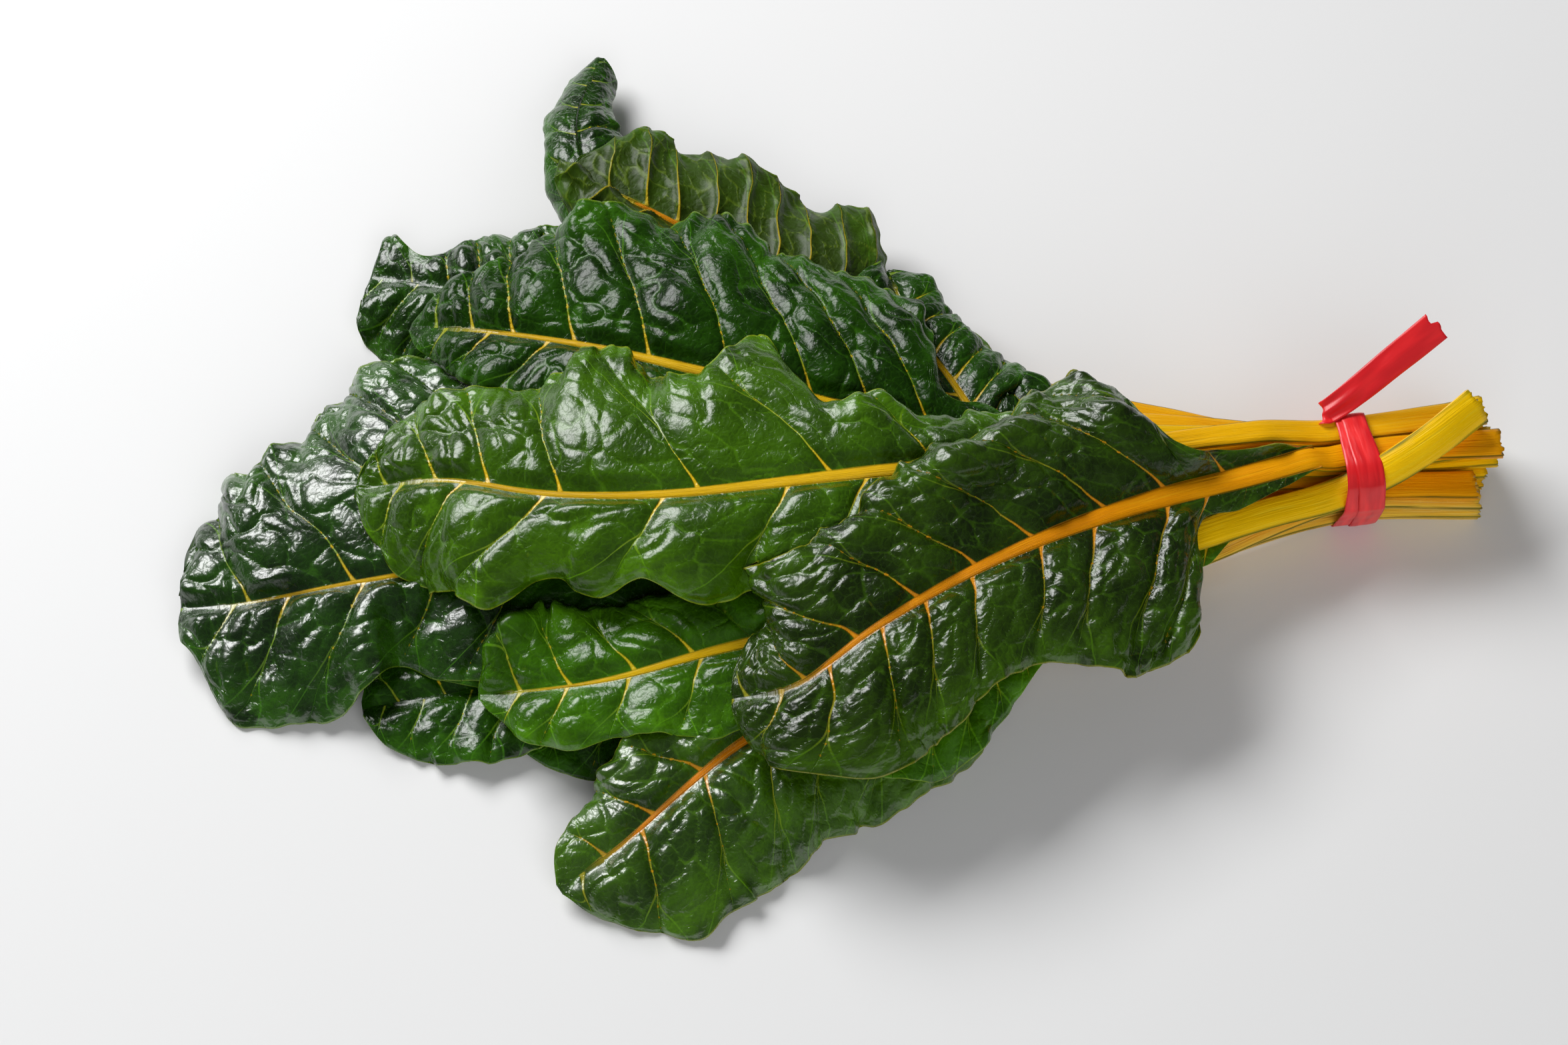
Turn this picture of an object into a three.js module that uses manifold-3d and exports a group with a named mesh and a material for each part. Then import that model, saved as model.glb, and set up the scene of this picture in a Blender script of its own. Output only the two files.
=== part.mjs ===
// A bunch of yellow-stemmed Swiss chard lying on a table, tied near its cut ends with a flat red ribbon.
// Millimetres, +Z up. The cut ends point to +X and the leaf tips to -X, and the bunch rests on z = 0.
// Each leaf is two solids: a stalk, which is the fleshy stem and the rib that it becomes, and a green
// blade that holds the rib in a slot. The leaves are laid one by one, so each rests on those below it.
import * as THREE from "three";
import Module from "manifold-3d";
import { mergeVertices } from "three/addons/utils/BufferGeometryUtils.js";

const { cos, sin, max, min, PI } = Math;
const { degToRad, lerp } = THREE.MathUtils;

const SHIFT = [-18, -40, 0]; // moves the bunch so that its box is centred over the origin

const BAND = [197, 34.5, 18]; // centre of the tie
const BAND_HEADING = 8; // degrees that the bundle turns towards +Y on its way to the cut ends
const STRIP = 10; // width of the ribbon
const STRIP_THICKNESS = 0.9;
const STRIP_GAP = 0.6; // from the ribbon to the stalks inside it
const STRIP_POINTS = 40; // steps around one winding

const BLADE_THICKNESS = 0.8;
const SLOT_GAP = 0.35; // between a rib and the blade on each side of it
const ROWS = 18; // steps from a blade's base to its tip
const CELLS = 4; // steps across each half of a blade
const COLUMNS = 2 * CELLS + 2;
const RIB_ROWS = ROWS - 3; // the row where the rib ends and the two halves of the blade join
const TIP_SLIT = 0.7; // half of the strip that joins the two halves, past the rib
const TIED = 12; // half of the length of stalk that the tie holds
const STEM_STEP = 22; // the longest step from the band to a blade

const STEM_AT_CUT = 11; // width of a stalk
const STEM_AT_BAND = 9.1;
const RIB_AT_BASE = 7.6;
const RIB_AT_TIP = 1.3;
const RIB_PROUD = 0.1; // how far a stalk stands above its blade, as a share of its width
const RIB_DEPTH = 0.52; // how far it reaches below, as a share of its width
const CHANNEL = 0.1; // the groove along its face, as a share of its width

const ON_TABLE = 0.7; // height of a blade's face where it is pressed flat on the table
const CLEARANCE = 2.3; // from one leaf's face up to the face of the leaf that rests on it
const RIB_CLEARANCE = 0.9; // from a leaf's face up to the back of a rib that rests on it

// cut and band are the centre of the stalk's section where it is cut and where it is tied, and `through`
// holds what it passes between them. rib holds the points that the face of the stalk passes on its way
// from the band to the tip, and the blade starts at `start`, a share of that way. left and right are the
// widths of the blade's halves, from base to tip. lean is how far the face turns to the left at the cut,
// at the blade's base and at its tip, and rise is how steeply the left and the right half climb, each at
// the rib and at its edge. Angles are in degrees. wave is how many waves an edge has, how high they are,
// and where they begin. Left is as seen on a walk towards the tip.
const LEAVES = [
  {
    name: "low_middle",
    cut: [243, 27.6, 3],
    through: [],
    band: [24.4, 5.4],
    rib: [[140, 6, 7], [60, -22, 6], [0, -40, 6], [-53, -51, 6], [-95, -56, 5]],
    start: 0.55,
    left: [6, 14, 20, 25, 28, 28, 26, 22, 15, 6],
    right: [6, 14, 20, 25, 28, 28, 26, 22, 15, 6],
    lean: [0, 0, 0],
    rise: [5, -20, 5, -20],
    wave: [4, 3.5, 0.55],
    tint: 0x2c4d1e,
  },
  {
    name: "low_front",
    cut: [245, 39.8, 3],
    through: [],
    band: [34.4, 5.4],
    rib: [[140, 16, 7], [54, -8, 8], [-27, -26, 8], [-80, -39, 8], [-106, -46, 6], [-143, -53, 5]],
    start: 0.55,
    left: [6, 14, 20, 24, 27, 28, 28, 24, 16, 8],
    right: [6, 14, 20, 24, 26, 26, 24, 22, 18, 8],
    lean: [0, 0, 0],
    rise: [5, -20, 8, -20],
    wave: [4, 4, 0.1],
    tint: 0x2a4a1c,
  },
  {
    name: "low_back",
    cut: [241, 52, 3],
    through: [],
    band: [45.1, 5.4],
    rib: [
      [130, 52, 8], [60, 66, 9], [0, 84, 12], [-42, 94, 14],
      [-84, 103, 14], [-124, 115, 11], [-157, 124, 6],
    ],
    start: 0.52,
    left: [6, 14, 22, 28, 32, 34, 33, 30, 22, 8],
    right: [6, 16, 26, 34, 34, 30, 24, 10, 12, 9],
    lean: [0, 0, 5],
    rise: [6, -25, 10, -15],
    wave: [4, 5, 0.3],
    tint: 0x24461a,
  },
  {
    name: "bottom",
    cut: [242, 27, 10.2],
    through: [],
    band: [24.3, 13],
    rib: [
      [140, 0, 15], [79, -26, 18], [26, -50, 20], [-18, -76, 20],
      [-34, -90, 18], [-54, -107, 12], [-74, -120, 6],
    ],
    start: 0.42,
    left: [10, 33, 42, 44, 43, 44, 43, 40, 23, 5],
    right: [8, 18, 28, 32, 32, 30, 24, 20, 14, 5],
    lean: [0, 10, 10],
    rise: [8, -34, 8, -30],
    wave: [4, 4.5, 0.0],
    tint: 0x2b5220,
  },
  {
    name: "tall_back",
    cut: [246, 52.4, 10.2],
    through: [],
    band: [45, 13],
    rib: [
      [130, 58, 15], [60, 76, 18], [0, 96, 22], [-42, 122, 27],
      [-69, 146, 30], [-76, 174, 27], [-70, 214, 14],
    ],
    start: 0.62,
    left: [5, 9, 13, 15, 16, 12, 12, 10, 8, 4],
    right: [5, 12, 18, 21, 22, 20, 15, 10, 8, 4],
    lean: [0, -5, -8],
    rise: [-15, -60, 2, -35],
    wave: [4, 2.5, 0.7],
    tint: 0x1f4218,
  },
  {
    name: "lower_left",
    cut: [245, 39.6, 10.2],
    through: [],
    band: [34.6, 13],
    rib: [[130, 22, 14], [54, 11, 16], [-27, -2, 16], [-75, -21, 15], [-106, -30, 12], [-136, -29, 7]],
    start: 0.55,
    left: [6, 18, 28, 34, 34, 27, 20, 15, 10, 5],
    right: [6, 18, 28, 34, 36, 36, 32, 27, 21, 9],
    lean: [0, 5, 10],
    rise: [8, -35, 8, -25],
    wave: [4, 4, 0.8],
    tint: 0x27491f,
  },
  {
    name: "upturned",
    cut: [240, 53.4, 17.4],
    through: [],
    band: [45, 19.2],
    rib: [
      [140, 50, 20], [75, 58, 22], [20, 86, 24], [-12, 112, 26],
      [-37, 128, 26], [-60, 140, 24], [-80, 150, 16],
    ],
    start: 0.38,
    left: [7, 18, 26, 30, 32, 32, 28, 24, 16, 6],
    right: [7, 20, 30, 37, 41, 38, 38, 32, 25, 9],
    lean: [0, -5, -6],
    rise: [0, -15, 12, -22],
    wave: [5, 4, 0.4],
    tint: 0x3f6224,
  },
  {
    name: "left",
    cut: [248, 40.4, 17.4],
    through: [],
    band: [34.8, 19.2],
    rib: [
      [130, 26, 20], [54, 16, 22], [-27, 8, 22], [-90, -3, 22],
      [-151, -13, 20], [-192, -17, 12], [-212.2, -15.5, 7],
    ],
    start: 0.46,
    left: [8, 18, 26, 34, 40, 42, 44, 44, 42, 39, 32, 40, 45, 45, 42, 36, 15, 8, 3],
    right: [10, 22, 36, 52, 66, 78, 85, 88, 88, 84, 83, 80, 73, 64, 54, 47, 41, 32, 22],
    lean: [0, 4, 4],
    rise: [8, -38, 12, -26],
    wave: [4, 5, 0.45],
    tint: 0x2a4e20,
  },
  {
    name: "right_front",
    cut: [240, 27.2, 17.4],
    through: [],
    band: [24.4, 19.2],
    rib: [[160, 12, 20], [120, -8, 24], [79, -38, 26], [47, -60, 24], [20, -76, 18]],
    start: 0.22,
    left: [6, 9, 11, 12, 13, 17, 25, 24, 17, 6],
    right: [7, 14, 22, 28, 30, 30, 28, 24, 16, 6],
    lean: [0, 4, 4],
    rise: [6, -22, 8, -25],
    wave: [5, 4, 0.5],
    tint: 0x4a7a2c,
  },
  {
    name: "back_right",
    cut: [244, 53.4, 24.6],
    through: [],
    band: [42.8, 25.4],
    rib: [[150, 42, 28], [100, 42, 32], [69, 44, 34], [58, 62, 32], [45, 86, 27], [37, 114, 17]],
    start: 0.42,
    left: [6, 14, 22, 26, 28, 28, 26, 20, 14, 5],
    right: [6, 14, 18, 18, 17, 17, 17, 16, 14, 8],
    lean: [0, -3, -5],
    rise: [4, -20, 8, -24],
    wave: [4, 3.5, 0.2],
    tint: 0x295019,
  },
  {
    name: "upper",
    cut: [246, 41, 24.6],
    through: [],
    band: [32.4, 25.4],
    rib: [
      [130, 34, 32], [63, 34, 38], [8, 46, 44], [-31, 57, 46],
      [-70, 70, 42], [-109, 82, 33], [-133, 91, 21],
    ],
    start: 0.33,
    left: [5, 12, 20, 28, 34, 38, 40, 42, 42, 40, 38, 34, 30, 27, 20, 15, 11, 7, 3],
    right: [5, 10, 13, 50, 55, 58, 60, 59, 67, 69, 61, 61, 56, 51, 41, 32, 26, 18, 5],
    lean: [0, 3, 3],
    rise: [8, -36, 12, -34],
    wave: [5, 4, 0.15],
    tint: 0x2a5420,
  },
  {
    name: "short",
    cut: [238, 43, 43.5],
    through: [[222, 30.6, 43], [208, 23.4, 36.6]],
    band: [20.8, 27.4],
    rib: [
      [160, 8, 25], [120, -8, 26], [70, -28, 28], [26, -34, 30],
      [-22, -44, 30], [-60, -53, 26], [-103, -53, 15],
    ],
    start: 0.6,
    left: [6, 14, 24, 29, 23, 19, 20, 18, 8, 2],
    right: [6, 14, 22, 24, 26, 28, 30, 30, 22, 8],
    lean: [40, 5, 5],
    rise: [6, -30, 8, -25],
    wave: [3, 3.5, 0.6],
    tint: 0x2f661a,
  },
  {
    name: "centre",
    cut: [241, 47.6, 31.8],
    through: [],
    band: [41.6, 31.6],
    rib: [
      [130, 29, 40], [79, 18, 47], [41, 12, 54], [0, 6, 56],
      [-39, 2, 55], [-79, 5, 50], [-117, 16, 40], [-147, 20, 26],
    ],
    start: 0.26,
    left: [6, 14, 20, 24, 28, 35, 34, 32, 39, 29, 33, 27, 42, 38, 35, 32, 25, 16, 5],
    right: [7, 13, 19, 20, 27, 27, 61, 52, 46, 51, 62, 60, 52, 43, 40, 34, 28, 18, 5],
    lean: [0, 3, 3],
    rise: [8, -42, 12, -28],
    wave: [5, 4, 0.35],
    tint: 0x3f6f2a,
  },
  {
    name: "front",
    cut: [247, 35.4, 31.8],
    through: [],
    band: [31.5, 31.6],
    rib: [
      [160, 19, 36], [127, 7, 42], [79, -16, 50], [57, -29, 52],
      [26, -50, 52], [4, -64, 44], [-21, -64, 32],
    ],
    start: 0.06,
    left: [2, 4, 7, 10, 48, 53, 54, 48, 42, 44, 44, 44, 41, 39, 35, 25, 18, 11, 4],
    right: [2, 3, 6, 10, 54, 53, 46, 42, 42, 41, 38, 35, 37, 38, 35, 31, 23, 14, 5],
    lean: [0, 4, 6],
    rise: [6, -34, 10, -28],
    wave: [5, 4, 0.85],
    tint: 0x26461d,
  },
];
const STEM_TINTS = [0xe39a12, 0xe8b81c, 0xd9860f, 0xe6a814];

// A smooth curve through given points, measured along its chords.
class Curve {
  constructor(points) {
    this.points = points.map((p) => new THREE.Vector3(...p));
    this.reach = [0];
    const steps = this.points.slice(1).map((p, i) => {
      this.reach.push(this.reach[i] + p.distanceTo(this.points[i]));
      return p.clone().sub(this.points[i]).divideScalar(this.reach[i + 1] - this.reach[i]);
    });
    this.slopes = this.points.map((_, i) => {
      if (i === 0) return steps[0].clone();
      if (i === steps.length) return steps[i - 1].clone();
      const share = (this.reach[i] - this.reach[i - 1]) / (this.reach[i + 1] - this.reach[i - 1]);
      return steps[i - 1].clone().lerp(steps[i], share);
    });
    this.length = this.reach[this.points.length - 1];
  }

  at(distance) {
    let i = 0;
    while (i < this.points.length - 2 && distance > this.reach[i + 1]) i += 1;
    const span = this.reach[i + 1] - this.reach[i];
    const t = (distance - this.reach[i]) / span;
    const [p, q] = [this.points[i], this.points[i + 1]];
    const [a, b] = [this.slopes[i], this.slopes[i + 1]];
    const mix = (wp, wa, wq, wb) =>
      new THREE.Vector3()
        .addScaledVector(p, wp)
        .addScaledVector(a, wa * span)
        .addScaledVector(q, wq)
        .addScaledVector(b, wb * span);
    const point = mix(
      (1 + 2 * t) * (1 - t) ** 2,
      t * (1 - t) ** 2,
      t * t * (3 - 2 * t),
      t * t * (t - 1),
    );
    const along = mix(6 * t * (t - 1), (1 - t) * (1 - 3 * t), 6 * t * (1 - t), t * (3 * t - 2));
    return { point, along: along.normalize() };
  }
}

// The highest point of what already lies in the bunch, over each small square of the table.
class Heap {
  static CELL = 2;
  static LOW = [-280, -220];
  static SIDES = [300, 270];

  constructor() {
    this.tops = new Float64Array(Heap.SIDES[0] * Heap.SIDES[1]).fill(ON_TABLE - CLEARANCE);
  }

  cell(x, y) {
    const column = Math.floor((x - Heap.LOW[0]) / Heap.CELL);
    const row = Math.floor((y - Heap.LOW[1]) / Heap.CELL);
    return row * Heap.SIDES[0] + column;
  }

  top(x, y) {
    return this.tops[this.cell(x, y)];
  }

  lay(points, triangles) {
    for (const [a, b, c] of triangles.map((t) => t.map((i) => points[i]))) {
      for (const w of spread(a, b, c, Heap.CELL / 2)) {
        const [x, y, z] = [blend(w, a.x, b.x, c.x), blend(w, a.y, b.y, c.y), blend(w, a.z, b.z, c.z)];
        const cell = this.cell(x, y);
        this.tops[cell] = max(this.tops[cell], z);
      }
    }
  }
}

const blend = (w, a, b, c) => w[0] * a + w[1] * b + w[2] * c;

// Weights of points spread over a triangle, no further apart than `pitch`.
function spread(a, b, c, pitch) {
  const n = Math.ceil(max(a.distanceTo(b), b.distanceTo(c), c.distanceTo(a)) / pitch);
  const found = [];
  for (let i = 0; i <= n; i += 1) {
    for (let j = 0; j <= n - i; j += 1) found.push([i / n, j / n, (n - i - j) / n]);
  }
  return found;
}

// How far across and how far up a strip reaches that starts at one slope and ends at another.
function bend(distance, width, from, to) {
  const rate = (to - from) / width;
  const angle = from + rate * distance;
  return [(sin(angle) - sin(from)) / rate, (cos(from) - cos(angle)) / rate];
}

function stalkWidth(leaf, distance) {
  const { bandAt, bladeAt, curve } = leaf;
  if (distance < bandAt) return lerp(STEM_AT_CUT, STEM_AT_BAND, distance / bandAt);
  if (distance < bladeAt) {
    return lerp(STEM_AT_BAND, RIB_AT_BASE, (distance - bandAt) / (bladeAt - bandAt));
  }
  const share = (distance - bladeAt) / (curve.length - bladeAt);
  return lerp(RIB_AT_TIP, RIB_AT_BASE, (1 - share) ** 1.2);
}

// The stalk's place, its directions and its width at a distance from the cut.
function stationAt(leaf, distance) {
  const { curve, bladeAt, lean } = leaf;
  const { point, along } = curve.at(distance);
  const left = new THREE.Vector3(0, 0, 1).cross(along).normalize();
  const up = along.clone().cross(left);
  const turn = degToRad(
    distance < bladeAt
      ? lerp(lean[0], lean[1], distance / bladeAt)
      : lerp(lean[1], lean[2], (distance - bladeAt) / (curve.length - bladeAt)),
  );
  return {
    distance,
    point,
    along,
    left: left.clone().multiplyScalar(cos(turn)).addScaledVector(up, -sin(turn)),
    up: up.clone().multiplyScalar(cos(turn)).addScaledVector(left, sin(turn)),
    width: stalkWidth(leaf, distance),
  };
}

// Works out the stations of one leaf: those of its stem, and those of its blade, closer near the tip.
function measure(data) {
  const lift = (width) => ((RIB_DEPTH - RIB_PROUD) / 2) * width;
  const [cut, band] = [data.cut, data.band];
  const leaf = {
    ...data,
    curve: new Curve([
      [cut[0], cut[1], cut[2] + lift(STEM_AT_CUT)],
      ...data.through,
      [BAND[0], band[0], band[1] + lift(STEM_AT_BAND)],
      ...data.rib,
    ]),
  };
  leaf.bandAt = leaf.curve.reach[1 + data.through.length];
  leaf.bladeAt = lerp(leaf.bandAt, leaf.curve.length, data.start);
  const tied = [leaf.bandAt - TIED, leaf.bandAt, leaf.bandAt + TIED];
  const stem = [0, tied[0] / 2, tied[0], tied[1]].map((distance) => stationAt(leaf, distance));
  const steps = Math.ceil((leaf.bladeAt - tied[2]) / STEM_STEP);
  for (let i = 0; i < steps; i += 1) {
    stem.push(stationAt(leaf, lerp(tied[2], leaf.bladeAt, i / steps)));
  }
  const blade = [];
  for (let i = 0; i <= ROWS; i += 1) {
    const share = 1 - (1 - i / ROWS) ** 1.3;
    const halves = [data.left, data.right].map((widths) => {
      const k = (i / ROWS) * (widths.length - 1);
      return lerp(widths[Math.floor(k)], widths[Math.ceil(k)], k % 1);
    });
    blade.push({ ...stationAt(leaf, lerp(leaf.bladeAt, leaf.curve.length, share)), share, halves });
  }
  return { ...leaf, stem, blade };
}

// The points of a blade's face, row by row from its left edge to its right edge.
function bladeFace(leaf) {
  const [count, height, phase] = leaf.wave;
  const points = [];
  leaf.blade.forEach((station, row) => {
    const slit = row <= RIB_ROWS ? station.width / 2 + SLOT_GAP : TIP_SLIT;
    for (let column = 0; column < COLUMNS; column += 1) {
      const side = column <= CELLS ? 0 : 1;
      const share = side === 0 ? (CELLS - column) / CELLS : (column - CELLS - 1) / CELLS;
      const from = degToRad(leaf.rise[2 * side]);
      const to = degToRad(leaf.rise[2 * side + 1]);
      const turn = 2 * PI * (count * station.share + phase + 0.37 * side);
      const width = station.halves[side];
      const [across, rise] = bend(share * width, width, from, to);
      const ripple = height * share ** 2 * min(1, width / 25) * sin(turn);
      points.push(
        station.point
          .clone()
          .addScaledVector(station.left, (slit + across) * (side === 0 ? 1 : -1))
          .addScaledVector(station.up, rise + ripple),
      );
    }
  });
  return points;
}

function bladeTriangles() {
  const triangles = [];
  for (let row = 0; row < ROWS; row += 1) {
    for (let column = 0; column < COLUMNS - 1; column += 1) {
      if (column === CELLS && row < RIB_ROWS) continue;
      const [a, b] = [row * COLUMNS + column, row * COLUMNS + column + 1];
      const [c, d] = [a + COLUMNS, b + COLUMNS];
      if (column < CELLS) triangles.push([a, b, d], [a, d, c]);
      else triangles.push([a, b, c], [b, d, c]);
    }
  }
  return triangles;
}

// Raises a leaf until it clears the heap: its rib as one stiff bar, held at the band, and each half of
// its blade as a sheet that bends over what it meets.
function settle(leaf, face, triangles, heap) {
  const PASSES = 60;
  const STIFF = 0.975; // how much of a raised part's height the rib beside it follows
  const SOFT = 0.84; // the same for the blade
  const stations = [...leaf.stem, ...leaf.blade];
  const rib = new Float64Array(stations.length);
  const sheet = new Float64Array(face.length);
  const first = leaf.stem.length;
  const inner = (index) => index % COLUMNS === CELLS || index % COLUMNS === CELLS + 1;
  const row = (index) => first + Math.floor(index / COLUMNS);
  const held = leaf.bandAt + TIED + 0.1; // the tie keeps a stem from being raised up to here

  const contacts = [];
  for (const triangle of triangles) {
    const [a, b, c] = triangle.map((i) => face[i]);
    for (const w of spread(a, b, c, 2.5)) {
      const [x, y, z] = [blend(w, a.x, b.x, c.x), blend(w, a.y, b.y, c.y), blend(w, a.z, b.z, c.z)];
      contacts.push({ triangle, w, need: heap.top(x, y) + CLEARANCE - z });
    }
  }
  const needs = stations.map((station, i) => {
    if (station.distance < held || i >= first + RIB_ROWS) return -Infinity;
    const back = station.point.z - RIB_DEPTH * station.width - RIB_CLEARANCE;
    const next = stations[i + 1];
    let need = -Infinity;
    for (let t = 0; t <= 1; t += 0.25) {
      for (let s = -0.5; s <= 0.5; s += 0.25) {
        const p = station.point.clone().lerp(next.point, t);
        p.addScaledVector(station.left, s * station.width);
        need = max(need, heap.top(p.x, p.y) - lerp(back, back + next.point.z - station.point.z, t));
      }
    }
    return need;
  });

  const lifted = (index) => rib[row(index)] + (inner(index) ? 0 : sheet[index]);
  for (let pass = 0; pass < PASSES; pass += 1) {
    for (const { triangle, w, need } of contacts) {
      const short = need - blend(w, ...triangle.map(lifted));
      if (short <= 0) continue;
      const square = w[0] ** 2 + w[1] ** 2 + w[2] ** 2;
      triangle.forEach((index, k) => {
        if (inner(index)) rib[row(index)] += (short * w[k]) / square;
        else sheet[index] += (short * w[k]) / square;
      });
    }
    needs.forEach((need, i) => {
      if (need === -Infinity) return;
      rib[i] = max(rib[i], need);
      rib[i + 1] = max(rib[i + 1], need);
    });
    for (let again = 0; again < 8; again += 1) {
      for (let i = 1; i < rib.length - 1; i += 1) {
        if (stations[i].distance <= held) rib[i] = 0;
        else rib[i] = max(rib[i], (STIFF * (rib[i - 1] + rib[i + 1])) / 2);
      }
      rib[rib.length - 1] = max(rib[rib.length - 1], STIFF * rib[rib.length - 2]);
    }
    for (let index = COLUMNS; index < face.length - COLUMNS; index += 1) {
      if (inner(index)) continue;
      const column = index % COLUMNS;
      const near = [index - COLUMNS, index + COLUMNS];
      if (column > 0) near.push(index - 1);
      if (column < COLUMNS - 1) near.push(index + 1);
      const around = near.reduce((sum, n) => sum + (inner(n) ? 0 : sheet[n]), 0) / near.length;
      sheet[index] = max(sheet[index], SOFT * around);
    }
  }
  face.forEach((point, index) => (point.z += lifted(index)));
  stations.forEach((station, i) => (station.point.z += rib[i]));
}

// Gives a face its thickness: the same triangles below it, and a wall around its open edges.
function thicken(face, triangles, thickness) {
  const normals = face.map(() => new THREE.Vector3());
  for (const [a, b, c] of triangles) {
    const normal = face[b].clone().sub(face[a]).cross(face[c].clone().sub(face[a]));
    for (const i of [a, b, c]) normals[i].add(normal);
  }
  const under = face.map((p, i) => p.clone().addScaledVector(normals[i].normalize(), -thickness));
  under.forEach((p) => (p.z = max(p.z, 0)));
  const n = face.length;
  const edges = new Set();
  for (const [a, b, c] of triangles) [[a, b], [b, c], [c, a]].forEach((e) => edges.add(e.join()));
  const walls = [...edges]
    .map((edge) => edge.split(",").map(Number))
    .filter(([a, b]) => !edges.has([b, a].join()))
    .flatMap(([a, b]) => [[b, a, a + n], [b, a + n, b + n]]);
  const back = triangles.map(([a, b, c]) => [a + n, c + n, b + n]);
  return geometry([...face, ...under], [...triangles, ...back, ...walls]);
}

function geometry(points, triangles) {
  const made = new THREE.BufferGeometry();
  made.setAttribute("position", new THREE.Float32BufferAttribute(points.flatMap((p) => p.toArray()), 3));
  made.setIndex(triangles.flat());
  return made;
}

// The outline of a stalk across its length: a shallow groove on the face, and a round back.
const SECTION = [
  [0.5, RIB_PROUD],
  [0, RIB_PROUD - CHANNEL],
  [-0.5, RIB_PROUD],
  ...[0.2, 0.4, 0.6, 0.8].map((turn) => [-0.5 * cos(turn * PI), -RIB_DEPTH * sin(turn * PI)]),
];

function sectionAt(station) {
  return SECTION.map(([across, up]) => {
    const p = station.point.clone();
    p.addScaledVector(station.left, across * station.width);
    p.addScaledVector(station.up, up * station.width);
    p.z = max(p.z, 0);
    return p;
  });
}

// A closed skin over a row of sections that all have the same number of points.
function loft(sections) {
  const [sides, last] = [sections[0].length, sections.length - 1];
  const triangles = [];
  for (let i = 0; i < last; i += 1) {
    for (let j = 0; j < sides; j += 1) {
      const [a, b] = [i * sides + j, i * sides + ((j + 1) % sides)];
      triangles.push([a, b, b + sides], [a, b + sides, a + sides]);
    }
  }
  for (let j = 1; j < sides - 1; j += 1) {
    triangles.push([0, j + 1, j], [last * sides, last * sides + j, last * sides + j + 1]);
  }
  return { points: sections.flat(), triangles };
}

function stalk(leaf) {
  const stations = [...leaf.stem, ...leaf.blade.slice(0, RIB_ROWS + 1)];
  const end = stations[stations.length - 1];
  end.point = end.point.clone().addScaledVector(end.along, -1.2);
  return loft(stations.map(sectionAt));
}

const heading = degToRad(BAND_HEADING);
const ALONG_TIE = new THREE.Vector3(cos(heading), sin(heading), 0);
const ASIDE_TIE = new THREE.Vector3(-sin(heading), cos(heading), 0);
const TIE_CENTRE = new THREE.Vector3(...BAND);

// The radius of the tightest loop around the stalks, as a function of the angle.
function loopAround(sections) {
  const flat = sections.flat().map((p) => {
    const from = p.clone().sub(TIE_CENTRE);
    return [from.dot(ASIDE_TIE), from.z];
  });
  const directions = Array.from({ length: 180 }, (_, k) => (2 * PI * k) / 180);
  const reaches = directions.map((d) => max(...flat.map(([a, z]) => a * cos(d) + z * sin(d))));
  return (angle) => {
    const bounds = directions.map((d, k) =>
      cos(d - angle) > 0.05 ? reaches[k] / cos(d - angle) : Infinity,
    );
    return min(...bounds);
  };
}

// One turn of the ribbon, `outside` that loop, with its middle at `start` along the stalks, slanting by
// `skew`, and pressed flat where it meets the table.
function winding(radiusAt, outside, start, skew) {
  const step = (2 * PI) / STRIP_POINTS;
  // Wide enough that the straight steps between its points clear the stalks too.
  const clearOf = (angle) => {
    const near = [-1, -0.5, 0, 0.5, 1].map((k) => radiusAt(angle + k * step));
    return max(...near) / cos(step / 2);
  };
  const points = [];
  const triangles = [];
  for (let k = 0; k < STRIP_POINTS; k += 1) {
    const angle = step * k;
    const inner = clearOf(angle) + STRIP_GAP + outside;
    const middle = start + skew * cos(angle - 0.9);
    for (const [radius, end] of [[0, -1], [1, -1], [1, 1], [0, 1]]) {
      const reach = inner + radius * STRIP_THICKNESS;
      const point = TIE_CENTRE.clone()
        .addScaledVector(ASIDE_TIE, reach * cos(angle))
        .addScaledVector(ALONG_TIE, middle + (end * STRIP) / 2);
      point.z = max((1 - radius) * STRIP_THICKNESS, point.z + reach * sin(angle));
      points.push(point);
    }
    for (let j = 0; j < 4; j += 1) {
      const [a, b] = [k * 4 + j, k * 4 + ((j + 1) % 4)];
      const next = ((k + 1) % STRIP_POINTS) * 4;
      const [c, d] = [next + j, next + ((j + 1) % 4)];
      triangles.push([a, b, d], [a, d, c]);
    }
  }
  return solid(points, triangles);
}

// The pinched knot on the far shoulder, and the loose end that stands up from it. Each row holds a
// place, the direction across the strip, and half of its width there.
const LOOSE_END = [
  [[193, 46.8, 33.6], [1, 0.1, 0], 4.6],
  [[190.5, 48, 35.6], [0.95, 0.3, 0.1], 4.2],
  [[188.5, 49, 38], [0.6, 0.7, 0.3], 2.6],
  [[188.6, 49.5, 40], [0, 0.9, 0.45], 2.4],
  [[190.5, 50.5, 42], [-0.5, 0.75, 0.4], 3.2],
  [[194, 52.4, 44.6], [-0.67, 0.64, 0.37], 4.4],
  [[200, 56, 49.4], [-0.67, 0.64, 0.37], 4.9],
  [[208, 60.3, 55.6], [-0.67, 0.64, 0.37], 5],
  [[216, 64.6, 61.8], [-0.67, 0.64, 0.37], 5],
  [[223, 68.4, 67.2], [-0.67, 0.64, 0.37], 4.7],
];

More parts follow.
